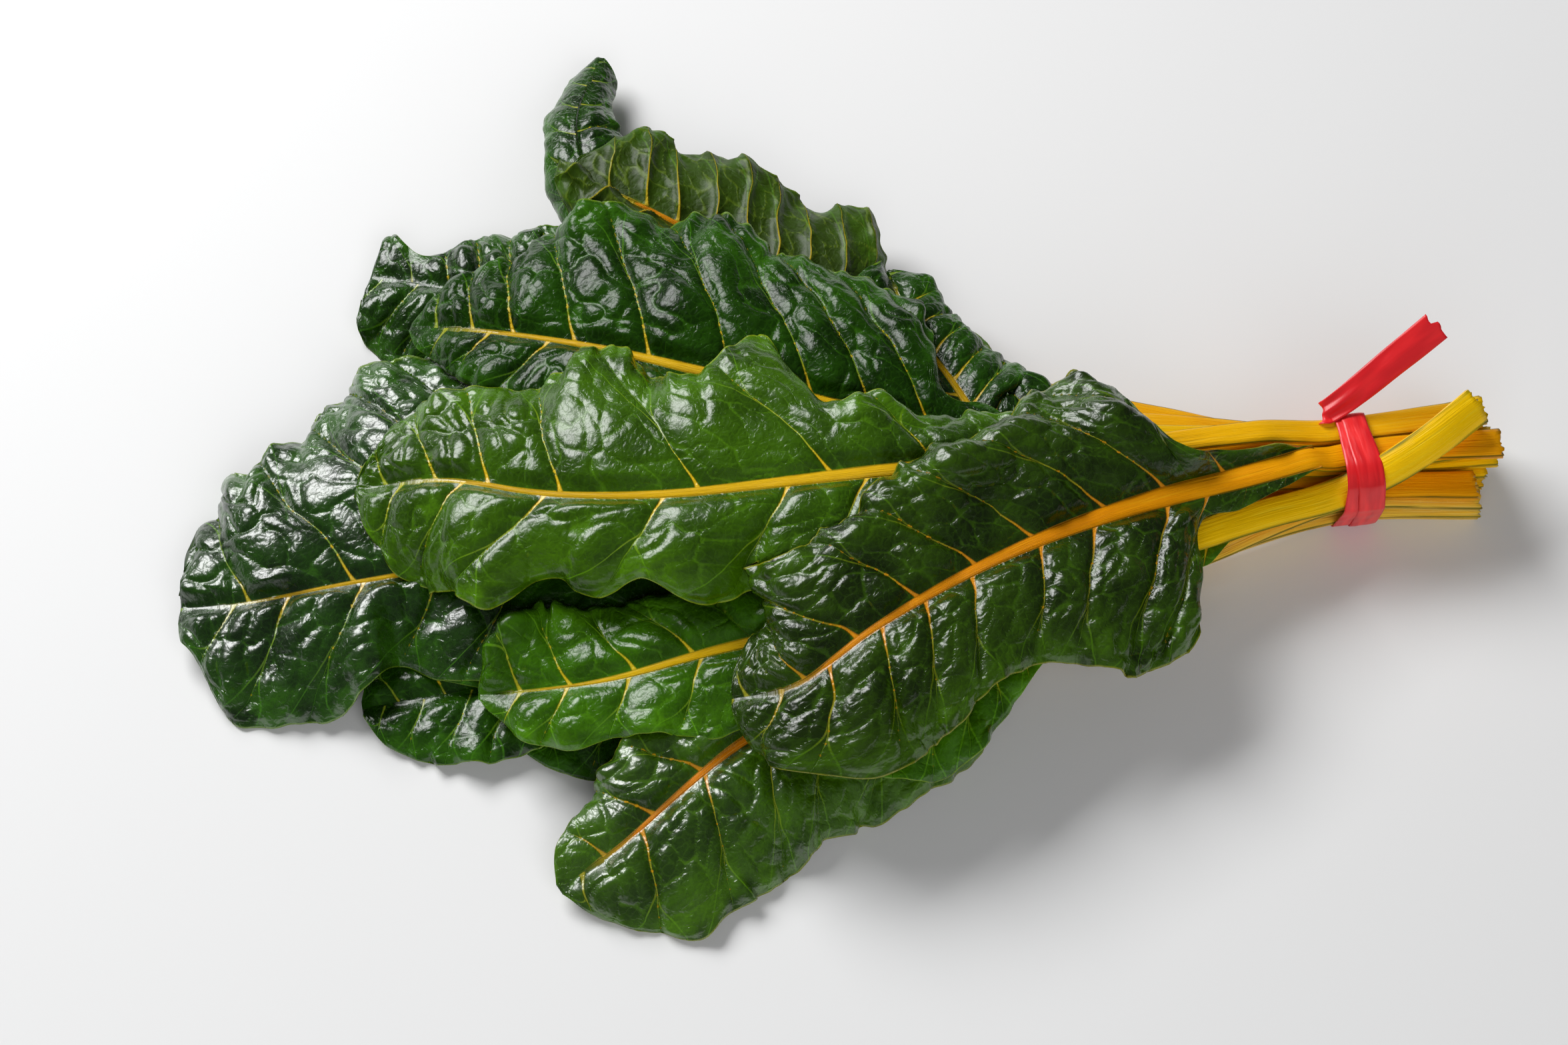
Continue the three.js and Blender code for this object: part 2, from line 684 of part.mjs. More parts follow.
function looseEnd() {
  const places = LOOSE_END.map(([place]) => new THREE.Vector3(...place));
  const last = places.length - 1;
  const sections = LOOSE_END.map(([, direction, half], i) => {
    const ahead = places[min(i + 1, last)].clone().sub(places[max(i - 1, 0)]).normalize();
    const across = new THREE.Vector3(...direction);
    across.addScaledVector(ahead, -across.dot(ahead)).normalize();
    const out = ahead.cross(across).multiplyScalar(0.6 * STRIP_THICKNESS);
    return [[-1, -1], [1, -1], [1, 1], [-1, 1]].map(([w, t]) =>
      places[i].clone().addScaledVector(across, w * half).addScaledVector(out, t),
    );
  });
  const { points, triangles } = loft(sections);
  return solid(points, triangles);
}

// The ribbon: two turns that lie partly over each other, and its loose end.
function tie(sections) {
  const radiusAt = loopAround(sections);
  const first = winding(radiusAt, 0, -5.2, 1.2);
  const second = winding(radiusAt, STRIP_THICKNESS - 0.3, 5, -1.6);
  const { vertProperties, triVerts, numProp } = first.add(second).add(looseEnd()).getMesh();
  const made = new THREE.BufferGeometry();
  made.setAttribute("position", new THREE.BufferAttribute(vertProperties, numProp));
  made.setIndex(new THREE.BufferAttribute(triVerts, 1));
  return made;
}

const wasm = await Module();
wasm.setup();

// A solid for joining, turned the right way out.
function solid(points, triangles) {
  const merged = mergeVertices(geometry(points, triangles), 1e-4);
  const make = (triVerts) =>
    new wasm.Manifold(
      new wasm.Mesh({ numProp: 3, vertProperties: merged.attributes.position.array, triVerts }),
    );
  const made = make(new Uint32Array(merged.index.array));
  if (made.volume() > 0) return made;
  return make(new Uint32Array(merged.index.array).reverse());
}

function piece(name, shape, colour, roughness) {
  const material = new THREE.MeshStandardMaterial({ color: colour, roughness, metalness: 0 });
  const mesh = new THREE.Mesh(shape, material);
  mesh.name = name;
  return mesh;
}

const bunch = new THREE.Group();
const heap = new Heap();
const triangles = bladeTriangles();
const tied = [];
LEAVES.forEach((data, order) => {
  const leaf = measure(data);
  const face = bladeFace(leaf);
  settle(leaf, face, triangles, heap);
  heap.lay(face, triangles);
  const made = stalk(leaf);
  heap.lay(made.points, made.triangles);
  bunch.add(piece(`${data.name}_blade`, thicken(face, triangles, BLADE_THICKNESS), data.tint, 0.35));
  bunch.add(
    piece(`${data.name}_stalk`, geometry(made.points, made.triangles), STEM_TINTS[order % 4], 0.4),
  );
  for (let along = -TIED; along <= TIED; along += 3) {
    tied.push(sectionAt(stationAt(leaf, leaf.bandAt + along)));
  }
});
bunch.add(piece("ribbon_tie", tie(tied), 0xc8201e, 0.3));
bunch.position.set(...SHIFT);

export default bunch;
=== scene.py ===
"""The looks of a tied bunch of yellow-stemmed Swiss chard that lies on a table.

Every leaf is worked out from the same measurements as its solids, and takes its height from them. On
top of that form come the puffed skin between sunken veins, ruffled edges, a fleshy rib and a cut stem.
Tables are in millimetres, and meshes in metres. The cut ends of the stems point to +X and the leaf tips
to -X.
"""

from __future__ import annotations

import logging
import math
from dataclasses import dataclass, field, replace
from enum import Enum
from typing import Any, Sequence

import bpy
import numpy as np
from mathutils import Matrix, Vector


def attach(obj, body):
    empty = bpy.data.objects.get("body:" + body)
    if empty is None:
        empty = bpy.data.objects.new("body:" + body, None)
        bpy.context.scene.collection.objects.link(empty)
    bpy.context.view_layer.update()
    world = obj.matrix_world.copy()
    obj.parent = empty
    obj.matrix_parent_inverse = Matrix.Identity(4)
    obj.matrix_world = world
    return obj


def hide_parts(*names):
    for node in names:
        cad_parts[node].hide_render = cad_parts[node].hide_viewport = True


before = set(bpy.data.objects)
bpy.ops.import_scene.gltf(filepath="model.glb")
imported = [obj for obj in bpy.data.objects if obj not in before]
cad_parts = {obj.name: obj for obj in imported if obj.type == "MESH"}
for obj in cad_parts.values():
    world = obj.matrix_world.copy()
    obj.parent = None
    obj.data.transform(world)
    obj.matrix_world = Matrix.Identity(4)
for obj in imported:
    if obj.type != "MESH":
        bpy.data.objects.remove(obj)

log = logging.getLogger("chard")

Triple = tuple[float, float, float]
Colour = tuple[float, float, float]

MM = 0.001

# What moves the tables to the part's frame, and what picks the chance in every leaf
SHIFT = np.array([-18.0, -40.0, 0.0])
SEED = 41

# The centre of the tie, the way the stems run through it in degrees, and its reach along them
BAND = (197.0, 34.5, 18.0)
BAND_HEADING = 8.0
TIED = 12.0

# The points of a blade's solid: its rows come closer to each other towards its tip
BLADE_ROWS = 18
BLADE_CELLS = 4
BLADE_COLUMNS = 2 * BLADE_CELLS + 2
ROW_POWER = 1.3

# The slit in a blade's solid: beside the rib up to the last rows, and narrow at its tip
RIB_ROWS = BLADE_ROWS - 3
SLOT_GAP = 0.35
TIP_SLIT = 0.7

# The solid of a stalk: the step between its sections, and its widths
STEM_STEP = 22.0
STEM_AT_CUT = 11.0
STEM_AT_BAND = 9.1
RIB_AT_BASE = 7.6
RIB_AT_TIP = 1.3
RIB_TAPER = 1.2

# How far a stalk goes above and below its face, as shares of its width
RIB_PROUD = 0.1
RIB_DEPTH = 0.52

# The blade that is seen, and the least that any point is above the table
BLADE_THICKNESS = 0.5
TABLE_GAP = 0.05


def lerp(a: Any, b: Any, t: Any) -> Any:
    """Goes from a to b as t goes from 0 to 1."""
    return a + (b - a) * t


def smooth(x: np.ndarray, low: float, high: float) -> np.ndarray:
    """Rises from 0 at low to 1 at high, with level ends."""
    t = np.clip((x - low) / (high - low), 0, 1)
    return t * t * (3 - 2 * t)


def scatter(x: np.ndarray, y: np.ndarray, seed: float) -> np.ndarray:
    """A fixed random number from 0 to 1 for each pair of whole numbers."""
    return np.modf(np.abs(np.sin(x * 127.1 + y * 311.7 + seed * 74.7) * 43758.5453))[0]


def rolling(x: np.ndarray, y: np.ndarray, seed: float) -> np.ndarray:
    """Smooth random hills from -1 to 1, about one for each unit of x and of y.

    Args:
        x: Places along the first direction.
        y: Places along the second direction.
        seed: Picks one of many such fields.

    Returns:
        The height at each place.
    """
    ix, iy = np.floor(x), np.floor(y)
    fx, fy = x - ix, y - iy
    fx, fy = fx**3 * (fx * (fx * 6 - 15) + 10), fy**3 * (fy * (fy * 6 - 15) + 10)
    low = lerp(scatter(ix, iy, seed), scatter(ix + 1, iy, seed), fx)
    high = lerp(scatter(ix, iy + 1, seed), scatter(ix + 1, iy + 1, seed), fx)
    return 2 * lerp(low, high, fy) - 1


def cell_edges(x: np.ndarray, y: np.ndarray, seed: float) -> np.ndarray:
    """How far each place is inside its cell of a random network, 0 on the lines between cells.

    Args:
        x: Places along the first direction, in cells.
        y: Places along the second direction, in cells.
        seed: Picks one of many such networks.

    Returns:
        The distance to the second nearest cell centre less that to the nearest.
    """
    spread, other_seed, far = 0.84, seed + 5.3, 9.0
    ix, iy = np.floor(x), np.floor(y)
    nearest = np.full(x.shape, far)
    second = np.full(x.shape, far)
    for dx in (-2, -1, 0, 1, 2):
        for dy in (-2, -1, 0, 1, 2):
            cx, cy = ix + dx, iy + dy
            away = np.hypot(
                cx + 0.5 + spread * (scatter(cx, cy, seed) - 0.5) - x,
                cy + 0.5 + spread * (scatter(cx, cy, other_seed) - 0.5) - y,
            )
            second = np.minimum(second, np.maximum(nearest, away))
            nearest = np.minimum(nearest, away)
    return second - nearest


def through_samples(values: np.ndarray, at: np.ndarray) -> np.ndarray:
    """A smooth curve through values given at 0, 1, 2 and so on.

    Args:
        values: The values, along the first axis.
        at: Where the curve is wanted. Just outside the ends it goes on straight.

    Returns:
        The values there, along the first axis.
    """
    padded = np.concatenate([2 * values[:1] - values[1:2], values, 2 * values[-1:] - values[-2:-1]])
    shape = (-1,) + (1,) * (values.ndim - 1)
    curved = np.clip(at, -0.3, len(values) - 0.6)
    beyond = (at - curved).reshape(shape)
    i = np.clip(np.floor(curved).astype(int), 0, len(values) - 2)
    t = (curved - i).reshape(shape)
    a, b, c, d = padded[i], padded[i + 1], padded[i + 2], padded[i + 3]
    curve = 2 * b + (c - a) * t + (2 * a - 5 * b + 4 * c - d) * t**2 + (3 * b - a - 3 * c + d) * t**3
    return 0.5 * curve + beyond * (c - b)


def unit(vectors: np.ndarray) -> np.ndarray:
    """Vectors along the last axis, each at length 1."""
    return vectors / np.maximum(np.linalg.norm(vectors, axis=-1, keepdims=True), 1e-9)


def facing_up(grid: np.ndarray) -> np.ndarray:
    """The direction that is square to a grid of points at each of them, on its upper side."""
    normal = unit(np.cross(np.gradient(grid, axis=0), np.gradient(grid, axis=1)))
    return normal * np.sign(normal[..., 2:3] + 1e-9)


def blurred(values: np.ndarray) -> np.ndarray:
    """A grid where each value is mixed with its neighbours."""
    padded = np.pad(values, 1, mode="edge")
    across = (padded[:, :-2] + 2 * padded[:, 1:-1] + padded[:, 2:]) / 4
    return (across[:-2] + 2 * across[1:-1] + across[2:]) / 4


class Curve:
    """A smooth curve through given points, measured along its chords."""

    def __init__(self, points: Sequence[Sequence[float]]) -> None:
        """Takes the points, in order."""
        self.points = np.array(points, float)
        chords = np.diff(self.points, axis=0)
        lengths = np.linalg.norm(chords, axis=1)
        self.reach = np.concatenate([[0.0], np.cumsum(lengths)])
        self.length = float(self.reach[-1])
        steps = chords / lengths[:, None]
        share = (lengths[:-1] / (lengths[:-1] + lengths[1:]))[:, None]
        self.slopes = np.concatenate([steps[:1], lerp(steps[:-1], steps[1:], share), steps[-1:]])

    def at(self, distance: np.ndarray) -> tuple[np.ndarray, np.ndarray]:
        """Follows the curve.

        Args:
            distance: How far from its start, for each place wanted.

        Returns:
            The places, and the directions of the curve there.
        """
        i = np.searchsorted(self.reach[1:-1], distance, side="left")
        span = (self.reach[i + 1] - self.reach[i])[:, None]
        t = (distance - self.reach[i])[:, None] / span
        p, a = self.points[i], self.slopes[i] * span
        q, b = self.points[i + 1], self.slopes[i + 1] * span
        place = p * (1 + 2 * t) * (1 - t) ** 2 + a * t * (1 - t) ** 2
        place = place + q * t * t * (3 - 2 * t) + b * t * t * (t - 1)
        along = p * 6 * t * (t - 1) + a * (1 - t) * (1 - 3 * t)
        along = along + q * 6 * t * (1 - t) + b * t * (3 * t - 2)
        return place, unit(along)


class Side(Enum):
    """The two halves of a leaf, as seen on a walk towards its tip."""

    LEFT = 0
    RIGHT = 1


@dataclass(frozen=True)
class Skin:
    """How the skin of a blade is puffed up between its veins, in millimetres.

    Attributes:
        veins: The usual distance between side veins.
        slant: How far a side vein runs towards the tip for each millimetre that it runs outwards.
        puff: How high the skin stands between the side veins.
        cell: How wide a blister is.
        blister: How high it is.
        wrinkle: How deep the fine wrinkles are.
        ruffle: How high the waves along the edge are.
        notch: How uneven the edge is, as a share of the width of the half.
        pitch: The distance between the points of the mesh.
        bumps: How high the broad bumps are, which don't heed the veins.
        small_bumps: How high the narrow ones are.
        groove: How deep a side vein lies in a face.
        ridge: How high it stands on an underside.
        lip: How far the edge hangs down.
        fold: How deep the skin lies before a crease.
        fold_edge: How high it stands on the crease.
    """

    veins: float = 19.0
    slant: float = 0.62
    puff: float = 2.4
    cell: float = 9.5
    blister: float = 1.2
    wrinkle: float = 0.3
    ruffle: float = 1.6
    notch: float = 0.035
    pitch: float = 0.85
    bumps: float = 1.3
    small_bumps: float = 0.3
    groove: float = 0.35
    ridge: float = 0.6
    lip: float = 1.6
    fold: float = 4.5
    fold_edge: float = 2.0


@dataclass(frozen=True)
class LeafPlan:
    """The measurements of one leaf, which are those of its solids.

    Attributes:
        name: What the names of its nodes and pieces begin with.
        cut: The centre of the stem's section where it is cut.
        band: The same where it is tied, aside and up.
        rib: What the face of the rib passes from the tie to the tip.
        start: Where on that way the blade begins, as a share of it.
        left: The widths of the left half, evenly spaced from the base to the tip.
        right: The widths of the right half.
        lean: How many degrees the face turns to the left at the cut, and at the blade's base and tip.
        rise: How many degrees each half climbs, at the rib and at its edge.
        wave: How many waves an edge has, how high they are, and where they begin.
        leaf: The finish of the blade.
        stem: The finish of the stalk.
        skin: How the blade is puffed up.
        through: What the stem passes between the cut and the tie.
        turned_over: Whether the blade shows its underside.
        roots: Where side veins leave the rib, on its left and on its right, as shares of the blade.
        ribs: The widths of the rib that is seen, evenly spaced from the blade's base to its tip.
        longer: What the blade has at its tip beyond its solid.
        sunk: Whether the rib runs under the skin.
        crease: Where a fold crosses the left half, as a share of the blade, or 0 where there is none.
        blunt: How far from the tip the edges start to round off.
        shine: How strong the wet gloss is.
        soft: How rough that gloss is.
        sheen: How strong the dull shine below it is.
        stout: How wide the stalk is beside the others.
        lobes: Where the edge stands out or in: the side, where along the blade, how long and how far.
    """

    name: str
    cut: Triple
    band: tuple[float, float]
    rib: tuple[Triple, ...]
    start: float
    left: tuple[float, ...]
    right: tuple[float, ...]
    lean: Triple
    rise: tuple[float, float, float, float]
    wave: Triple
    leaf: str
    stem: str
    skin: Skin
    through: tuple[Triple, ...] = ()
    turned_over: bool = False
    roots: tuple[tuple[float, ...], tuple[float, ...]] = ((), ())
    ribs: tuple[float, ...] = (7.6, 5.2, 3.2, 1.7, 0.8)
    longer: float = 0.0
    sunk: bool = False
    crease: float = 0.0
    blunt: float = 7.0
    shine: float = 0.54
    soft: float = 0.18
    sheen: float = 0.33
    stout: float = 1.0
    lobes: tuple[tuple[Side, float, float, float], ...] = ()


SMOOTH_SKIN = Skin(puff=3.0, wrinkle=0.1, cell=13.0, ruffle=1.8)
PUFFED_SKIN = Skin(puff=3.3, blister=1.5, wrinkle=0.14, cell=13.0)
CRINKLED_SKIN = Skin(puff=2.6, blister=1.8, wrinkle=0.4, cell=9.0, ruffle=2.0)
HIDDEN_SKIN = Skin(pitch=1.6)
SMALL_SKIN = Skin(veins=15.0, blister=0.8, cell=9.0, wrinkle=0.15, pitch=0.8)

LEAVES = (
    LeafPlan(
        name="low_middle",
        cut=(243, 27.6, 3),
        band=(24.4, 5.4),
        rib=((140, 6, 7), (60, -22, 6), (0, -40, 6), (-53, -51, 6), (-95, -56, 5)),
        start=0.55,
        left=(6, 14, 20, 25, 28, 28, 26, 22, 15, 6),
        right=(6, 14, 20, 25, 28, 28, 26, 22, 15, 6),
        lean=(0, 0, 0),
        rise=(5, -20, 5, -20),
        wave=(4, 3.5, 0.55),
        leaf="dark",
        stem="straw",
        skin=HIDDEN_SKIN,
        sunk=True,
    ),
    LeafPlan(
        name="low_front",
        cut=(245, 39.8, 3),
        band=(34.4, 5.4),
        rib=((140, 16, 7), (54, -8, 8), (-27, -26, 8), (-80, -39, 8), (-106, -46, 6), (-143, -53, 5)),
        start=0.55,
        left=(6, 14, 20, 24, 27, 28, 28, 24, 16, 8),
        right=(6, 14, 20, 24, 26, 26, 24, 22, 18, 8),
        lean=(0, 0, 0),
        rise=(5, -20, 8, -20),
        wave=(4, 4, 0.1),
        leaf="dark",
        stem="golden",
        skin=replace(SMALL_SKIN, pitch=1.0),
        sunk=True,
    ),
    LeafPlan(
        name="low_back",
        cut=(241, 52, 3),
        band=(45.1, 5.4),
        rib=(
            (130, 52, 8), (60, 66, 9), (0, 84, 12), (-42, 94, 14),
            (-84, 103, 14), (-124, 115, 11), (-157, 124, 6),
        ),
        start=0.52,
        left=(6, 14, 22, 28, 32, 34, 33, 30, 22, 8),
        right=(6, 16, 26, 34, 34, 30, 24, 10, 12, 9),
        lean=(0, 0, 5),
        rise=(6, -25, 10, -15),
        wave=(4, 5, 0.3),
        leaf="dark",
        stem="amber",
        skin=replace(PUFFED_SKIN, veins=15.0, cell=8.5),
        sunk=True,
        longer=-7,
        lobes=((Side.RIGHT, 1.0, 0.05, 8), (Side.LEFT, 0.93, 0.06, 4)),
        blunt=1.5,
        sheen=0.43,
    ),
    LeafPlan(
        name="bottom",
        cut=(242, 27, 10.2),
        band=(24.3, 13),
        rib=(
            (140, 0, 15), (79, -26, 18), (26, -50, 20), (-18, -76, 20),
            (-34, -90, 18), (-54, -107, 12), (-74, -120, 6),
        ),
        start=0.42,
        left=(10, 33, 42, 44, 43, 44, 43, 40, 23, 5),
        right=(8, 18, 28, 32, 32, 30, 24, 20, 14, 5),
        lean=(0, 10, 10),
        rise=(8, -34, 8, -30),
        wave=(4, 4.5, 0.0),
        leaf="painted_lit_deep",
        stem="straw",
        skin=replace(PUFFED_SKIN, veins=24.0, cell=10.0),
        shine=0.8,
        soft=0.3,
        sheen=0.8,
    ),
    LeafPlan(
        name="tall_back",
        cut=(246, 52.4, 10.2),
        band=(45, 13),
        rib=(
            (130, 58, 15), (60, 76, 18), (0, 96, 22), (-42, 122, 27),
            (-69, 146, 30), (-76, 174, 27), (-70, 214, 14),
        ),
        start=0.62,
        left=(5, 9, 13, 15, 16, 12, 12, 10, 8, 4),
        right=(5, 12, 18, 21, 22, 20, 15, 10, 8, 4),
        lean=(0, -5, -8),
        rise=(-15, -60, 2, -35),
        wave=(4, 2.5, 0.7),
        leaf="dark",
        stem="amber",
        skin=replace(SMALL_SKIN, blister=1.2),
        longer=5,
        sunk=True,
        shine=0.36,
        lobes=((Side.LEFT, 0.95, 0.06, 3), (Side.RIGHT, 0.95, 0.06, 3)),
    ),
    LeafPlan(
        name="lower_left",
        cut=(245, 39.6, 10.2),
        band=(34.6, 13),
        rib=(
            (130, 22, 14), (54, 11, 16), (-27, -2, 16),
            (-75, -21, 15), (-106, -30, 12), (-136, -29, 7),
        ),
        start=0.55,
        left=(6, 18, 28, 34, 34, 27, 20, 15, 10, 5),
        right=(6, 18, 28, 34, 36, 36, 32, 27, 21, 9),
        lean=(0, 5, 10),
        rise=(8, -35, 8, -25),
        wave=(4, 4, 0.8),
        leaf="dark",
        stem="yellow",
        skin=replace(PUFFED_SKIN, pitch=1.2),
        sunk=True,
        sheen=0.37,
    ),
    LeafPlan(
        name="upturned",
        cut=(240, 53.4, 17.4),
        band=(45, 19.2),
        rib=(
            (140, 50, 20), (75, 58, 22), (20, 86, 24), (-12, 112, 26),
            (-37, 128, 26), (-60, 140, 24), (-80, 150, 16),
        ),
        start=0.38,
        left=(7, 18, 26, 30, 32, 32, 28, 24, 16, 6),
        right=(7, 20, 30, 37, 41, 38, 38, 32, 25, 9),
        lean=(0, -5, -6),
        rise=(0, -15, 12, -22),
        wave=(5, 4, 0.4),
        leaf="olive",
        stem="amber",
        skin=replace(SMALL_SKIN, veins=13.0, puff=3.0),
        turned_over=True,
        lobes=((Side.RIGHT, 0.15, 0.1, 7), (Side.RIGHT, 0.5, 0.06, 11), (Side.RIGHT, 0.9, 0.05, 4)),
    ),
    LeafPlan(
        name="left",
        cut=(248, 40.4, 17.4),
        band=(34.8, 19.2),
        rib=(
            (130, 26, 20), (54, 16, 22), (-27, 8, 22), (-90, -3, 22),
            (-151, -13, 20), (-192, -17, 12), (-212.2, -15.5, 7),
        ),
        start=0.46,
        left=(8, 18, 26, 34, 40, 42, 44, 44, 42, 39, 32, 40, 45, 45, 42, 36, 15, 8, 3),
        right=(10, 22, 36, 52, 66, 78, 85, 88, 88, 84, 83, 80, 73, 64, 54, 47, 41, 32, 22),
        lean=(0, 4, 4),
        rise=(8, -38, 12, -26),
        wave=(4, 5, 0.45),
        leaf="dark",
        stem="yellow",
        skin=PUFFED_SKIN,
        roots=((0.45, 0.58, 0.7, 0.82, 0.91), (0.42, 0.56, 0.715, 0.885)),
        ribs=(6, 4, 2.2, 1.1, 0.5),
        crease=0.68,
        longer=-5,
        blunt=3.5,
        lobes=(
            (Side.RIGHT, 0.79, 0.06, -7),
            (Side.RIGHT, 0.88, 0.03, -4),
            (Side.RIGHT, 0.97, 0.05, 12),
            (Side.LEFT, 0.95, 0.05, 6),
        ),
        shine=0.7,
        soft=0.27,
        sheen=0.8,
    ),
    LeafPlan(
        name="right_front",
        cut=(240, 27.2, 17.4),
        band=(24.4, 19.2),
        rib=((160, 12, 20), (120, -8, 24), (79, -38, 26), (47, -60, 24), (20, -76, 18)),
        start=0.22,
        left=(6, 9, 11, 12, 13, 17, 25, 24, 17, 6),
        right=(7, 14, 22, 28, 30, 30, 28, 24, 16, 6),
        lean=(0, 4, 4),
        rise=(6, -22, 8, -25),
        wave=(5, 4, 0.5),
        leaf="bright",
        stem="orange",
        skin=replace(SMALL_SKIN, pitch=0.9),
        lobes=((Side.LEFT, 0.4, 0.25, -6),),
    ),
    LeafPlan(
        name="back_right",
        cut=(244, 53.4, 24.6),
        band=(42.8, 25.4),
        rib=((150, 42, 28), (100, 42, 32), (69, 44, 34), (58, 62, 32), (45, 86, 27), (37, 114, 17)),
        start=0.42,
        left=(6, 14, 22, 26, 28, 28, 26, 20, 14, 5),
        right=(6, 14, 18, 18, 17, 17, 17, 16, 14, 8),
        lean=(0, -3, -5),
        rise=(4, -20, 8, -24),
        wave=(4, 3.5, 0.2),
        leaf="dark",
        stem="yellow",
        skin=SMALL_SKIN,
        shine=0.18,
        ribs=(6, 3.5, 2.2, 1.2, 0.6),
        lobes=((Side.RIGHT, 0.22, 0.12, 8), (Side.RIGHT, 0.46, 0.12, 8)),
    ),
    LeafPlan(
        name="upper",
        cut=(246, 41, 24.6),
        band=(32.4, 25.4),
        rib=(
            (130, 34, 32), (63, 34, 38), (8, 46, 44), (-31, 57, 46),
            (-70, 70, 42), (-109, 82, 33), (-133, 91, 21),
        ),
        start=0.33,
        left=(5, 12, 20, 28, 34, 38, 40, 42, 42, 40, 38, 34, 30, 27, 20, 15, 11, 7, 3),
        right=(5, 10, 13, 50, 55, 58, 60, 59, 67, 69, 61, 61, 56, 51, 41, 32, 26, 18, 5),
        lean=(0, 3, 3),
        rise=(8, -36, 12, -34),
        wave=(5, 4, 0.15),
        leaf="dark",
        stem="yellow",
        skin=PUFFED_SKIN,
        roots=(
            (0.2, 0.35, 0.5, 0.62, 0.75, 0.85, 0.93),
            (0.155, 0.245, 0.335, 0.46, 0.59, 0.71, 0.81, 0.88),
        ),
        ribs=(7, 5.4, 3.8, 1.8, 0.8),
        shine=0.22,
        soft=0.17,
        sheen=0.2,
    ),
    LeafPlan(
        name="short",
        cut=(238, 43, 43.5),
        through=((222, 30.6, 43), (208, 23.4, 36.6)),
        band=(20.8, 27.4),
        rib=(
            (160, 8, 25), (120, -8, 26), (70, -28, 28), (26, -34, 30),
            (-22, -44, 30), (-60, -53, 26), (-103, -53, 15),
        ),
        start=0.6,
        left=(6, 14, 24, 29, 23, 19, 20, 18, 8, 2),
        right=(6, 14, 22, 24, 26, 28, 30, 30, 22, 8),
        lean=(40, 5, 5),
        rise=(6, -30, 8, -25),
        wave=(3, 3.5, 0.6),
        leaf="bright",
        stem="lemon",
        skin=SMOOTH_SKIN,
        roots=((0.38, 0.58, 0.75, 0.88), (0.4, 0.56, 0.74, 0.88)),
        ribs=(5, 3.6, 2.5, 0.9, 0.7),
        shine=0.36,
        stout=1.25,
    ),
    LeafPlan(
        name="centre",
        cut=(241, 47.6, 31.8),
        band=(41.6, 31.6),
        rib=(
            (130, 29, 40), (79, 18, 47), (41, 12, 54), (0, 6, 56),
            (-39, 2, 55), (-79, 5, 50), (-117, 16, 40), (-147, 20, 26),
        ),
        start=0.26,
        left=(6, 14, 20, 24, 28, 35, 34, 32, 39, 29, 33, 27, 42, 38, 35, 32, 25, 16, 5),
        right=(7, 13, 19, 20, 27, 27, 61, 52, 46, 51, 62, 60, 52, 43, 40, 34, 28, 18, 5),
        lean=(0, 3, 3),
        rise=(8, -42, 12, -28),
        wave=(5, 4, 0.35),
        leaf="fresh",
        stem="golden",
        skin=SMOOTH_SKIN,
        roots=(
            (0.1, 0.2, 0.31, 0.41, 0.57, 0.725, 0.84, 0.93),
            (0.22, 0.355, 0.525, 0.705, 0.805, 0.88),
        ),
        ribs=(7, 5, 3.2, 1.9, 0.8),
        lobes=((Side.LEFT, 0.93, 0.06, 8), (Side.RIGHT, 0.95, 0.05, 3)),
        shine=0.57,
        soft=0.2,
    ),
    LeafPlan(
        name="front",
        cut=(247, 35.4, 31.8),
        band=(31.5, 31.6),
        rib=(
            (160, 19, 36), (127, 7, 42), (79, -16, 50), (57, -29, 52),
            (26, -50, 52), (4, -64, 44), (-21, -64, 32),
        ),
        start=0.06,
        left=(2, 4, 7, 10, 48, 53, 54, 48, 42, 44, 44, 44, 41, 39, 35, 25, 18, 11, 4),
        right=(2, 3, 6, 10, 54, 53, 46, 42, 42, 41, 38, 35, 37, 38, 35, 31, 23, 14, 5),
        lean=(0, 4, 6),
        rise=(6, -34, 10, -28),
        wave=(5, 4, 0.85),
        leaf="deep",
        stem="orange",
        skin=CRINKLED_SKIN,
        roots=(
            (0.19, 0.255, 0.38, 0.47, 0.59, 0.67, 0.745, 0.84, 0.92),
            (0.15, 0.25, 0.35, 0.475, 0.575, 0.675, 0.785, 0.88),
        ),
        ribs=(8.5, 7.2, 4.2, 2.3, 0.8),
        lobes=(
            (Side.RIGHT, 0.25, 0.011, 14),
            (Side.RIGHT, 0.295, 0.03, -5),
            (Side.RIGHT, 0.79, 0.04, -3),
            (Side.RIGHT, 0.9, 0.08, 10),
            (Side.LEFT, 0.62, 0.1, -8),
            (Side.LEFT, 0.9, 0.08, 4),
        ),
        shine=0.42,
        soft=0.22,
        sheen=0.44,
        longer=-4,
    ),
)


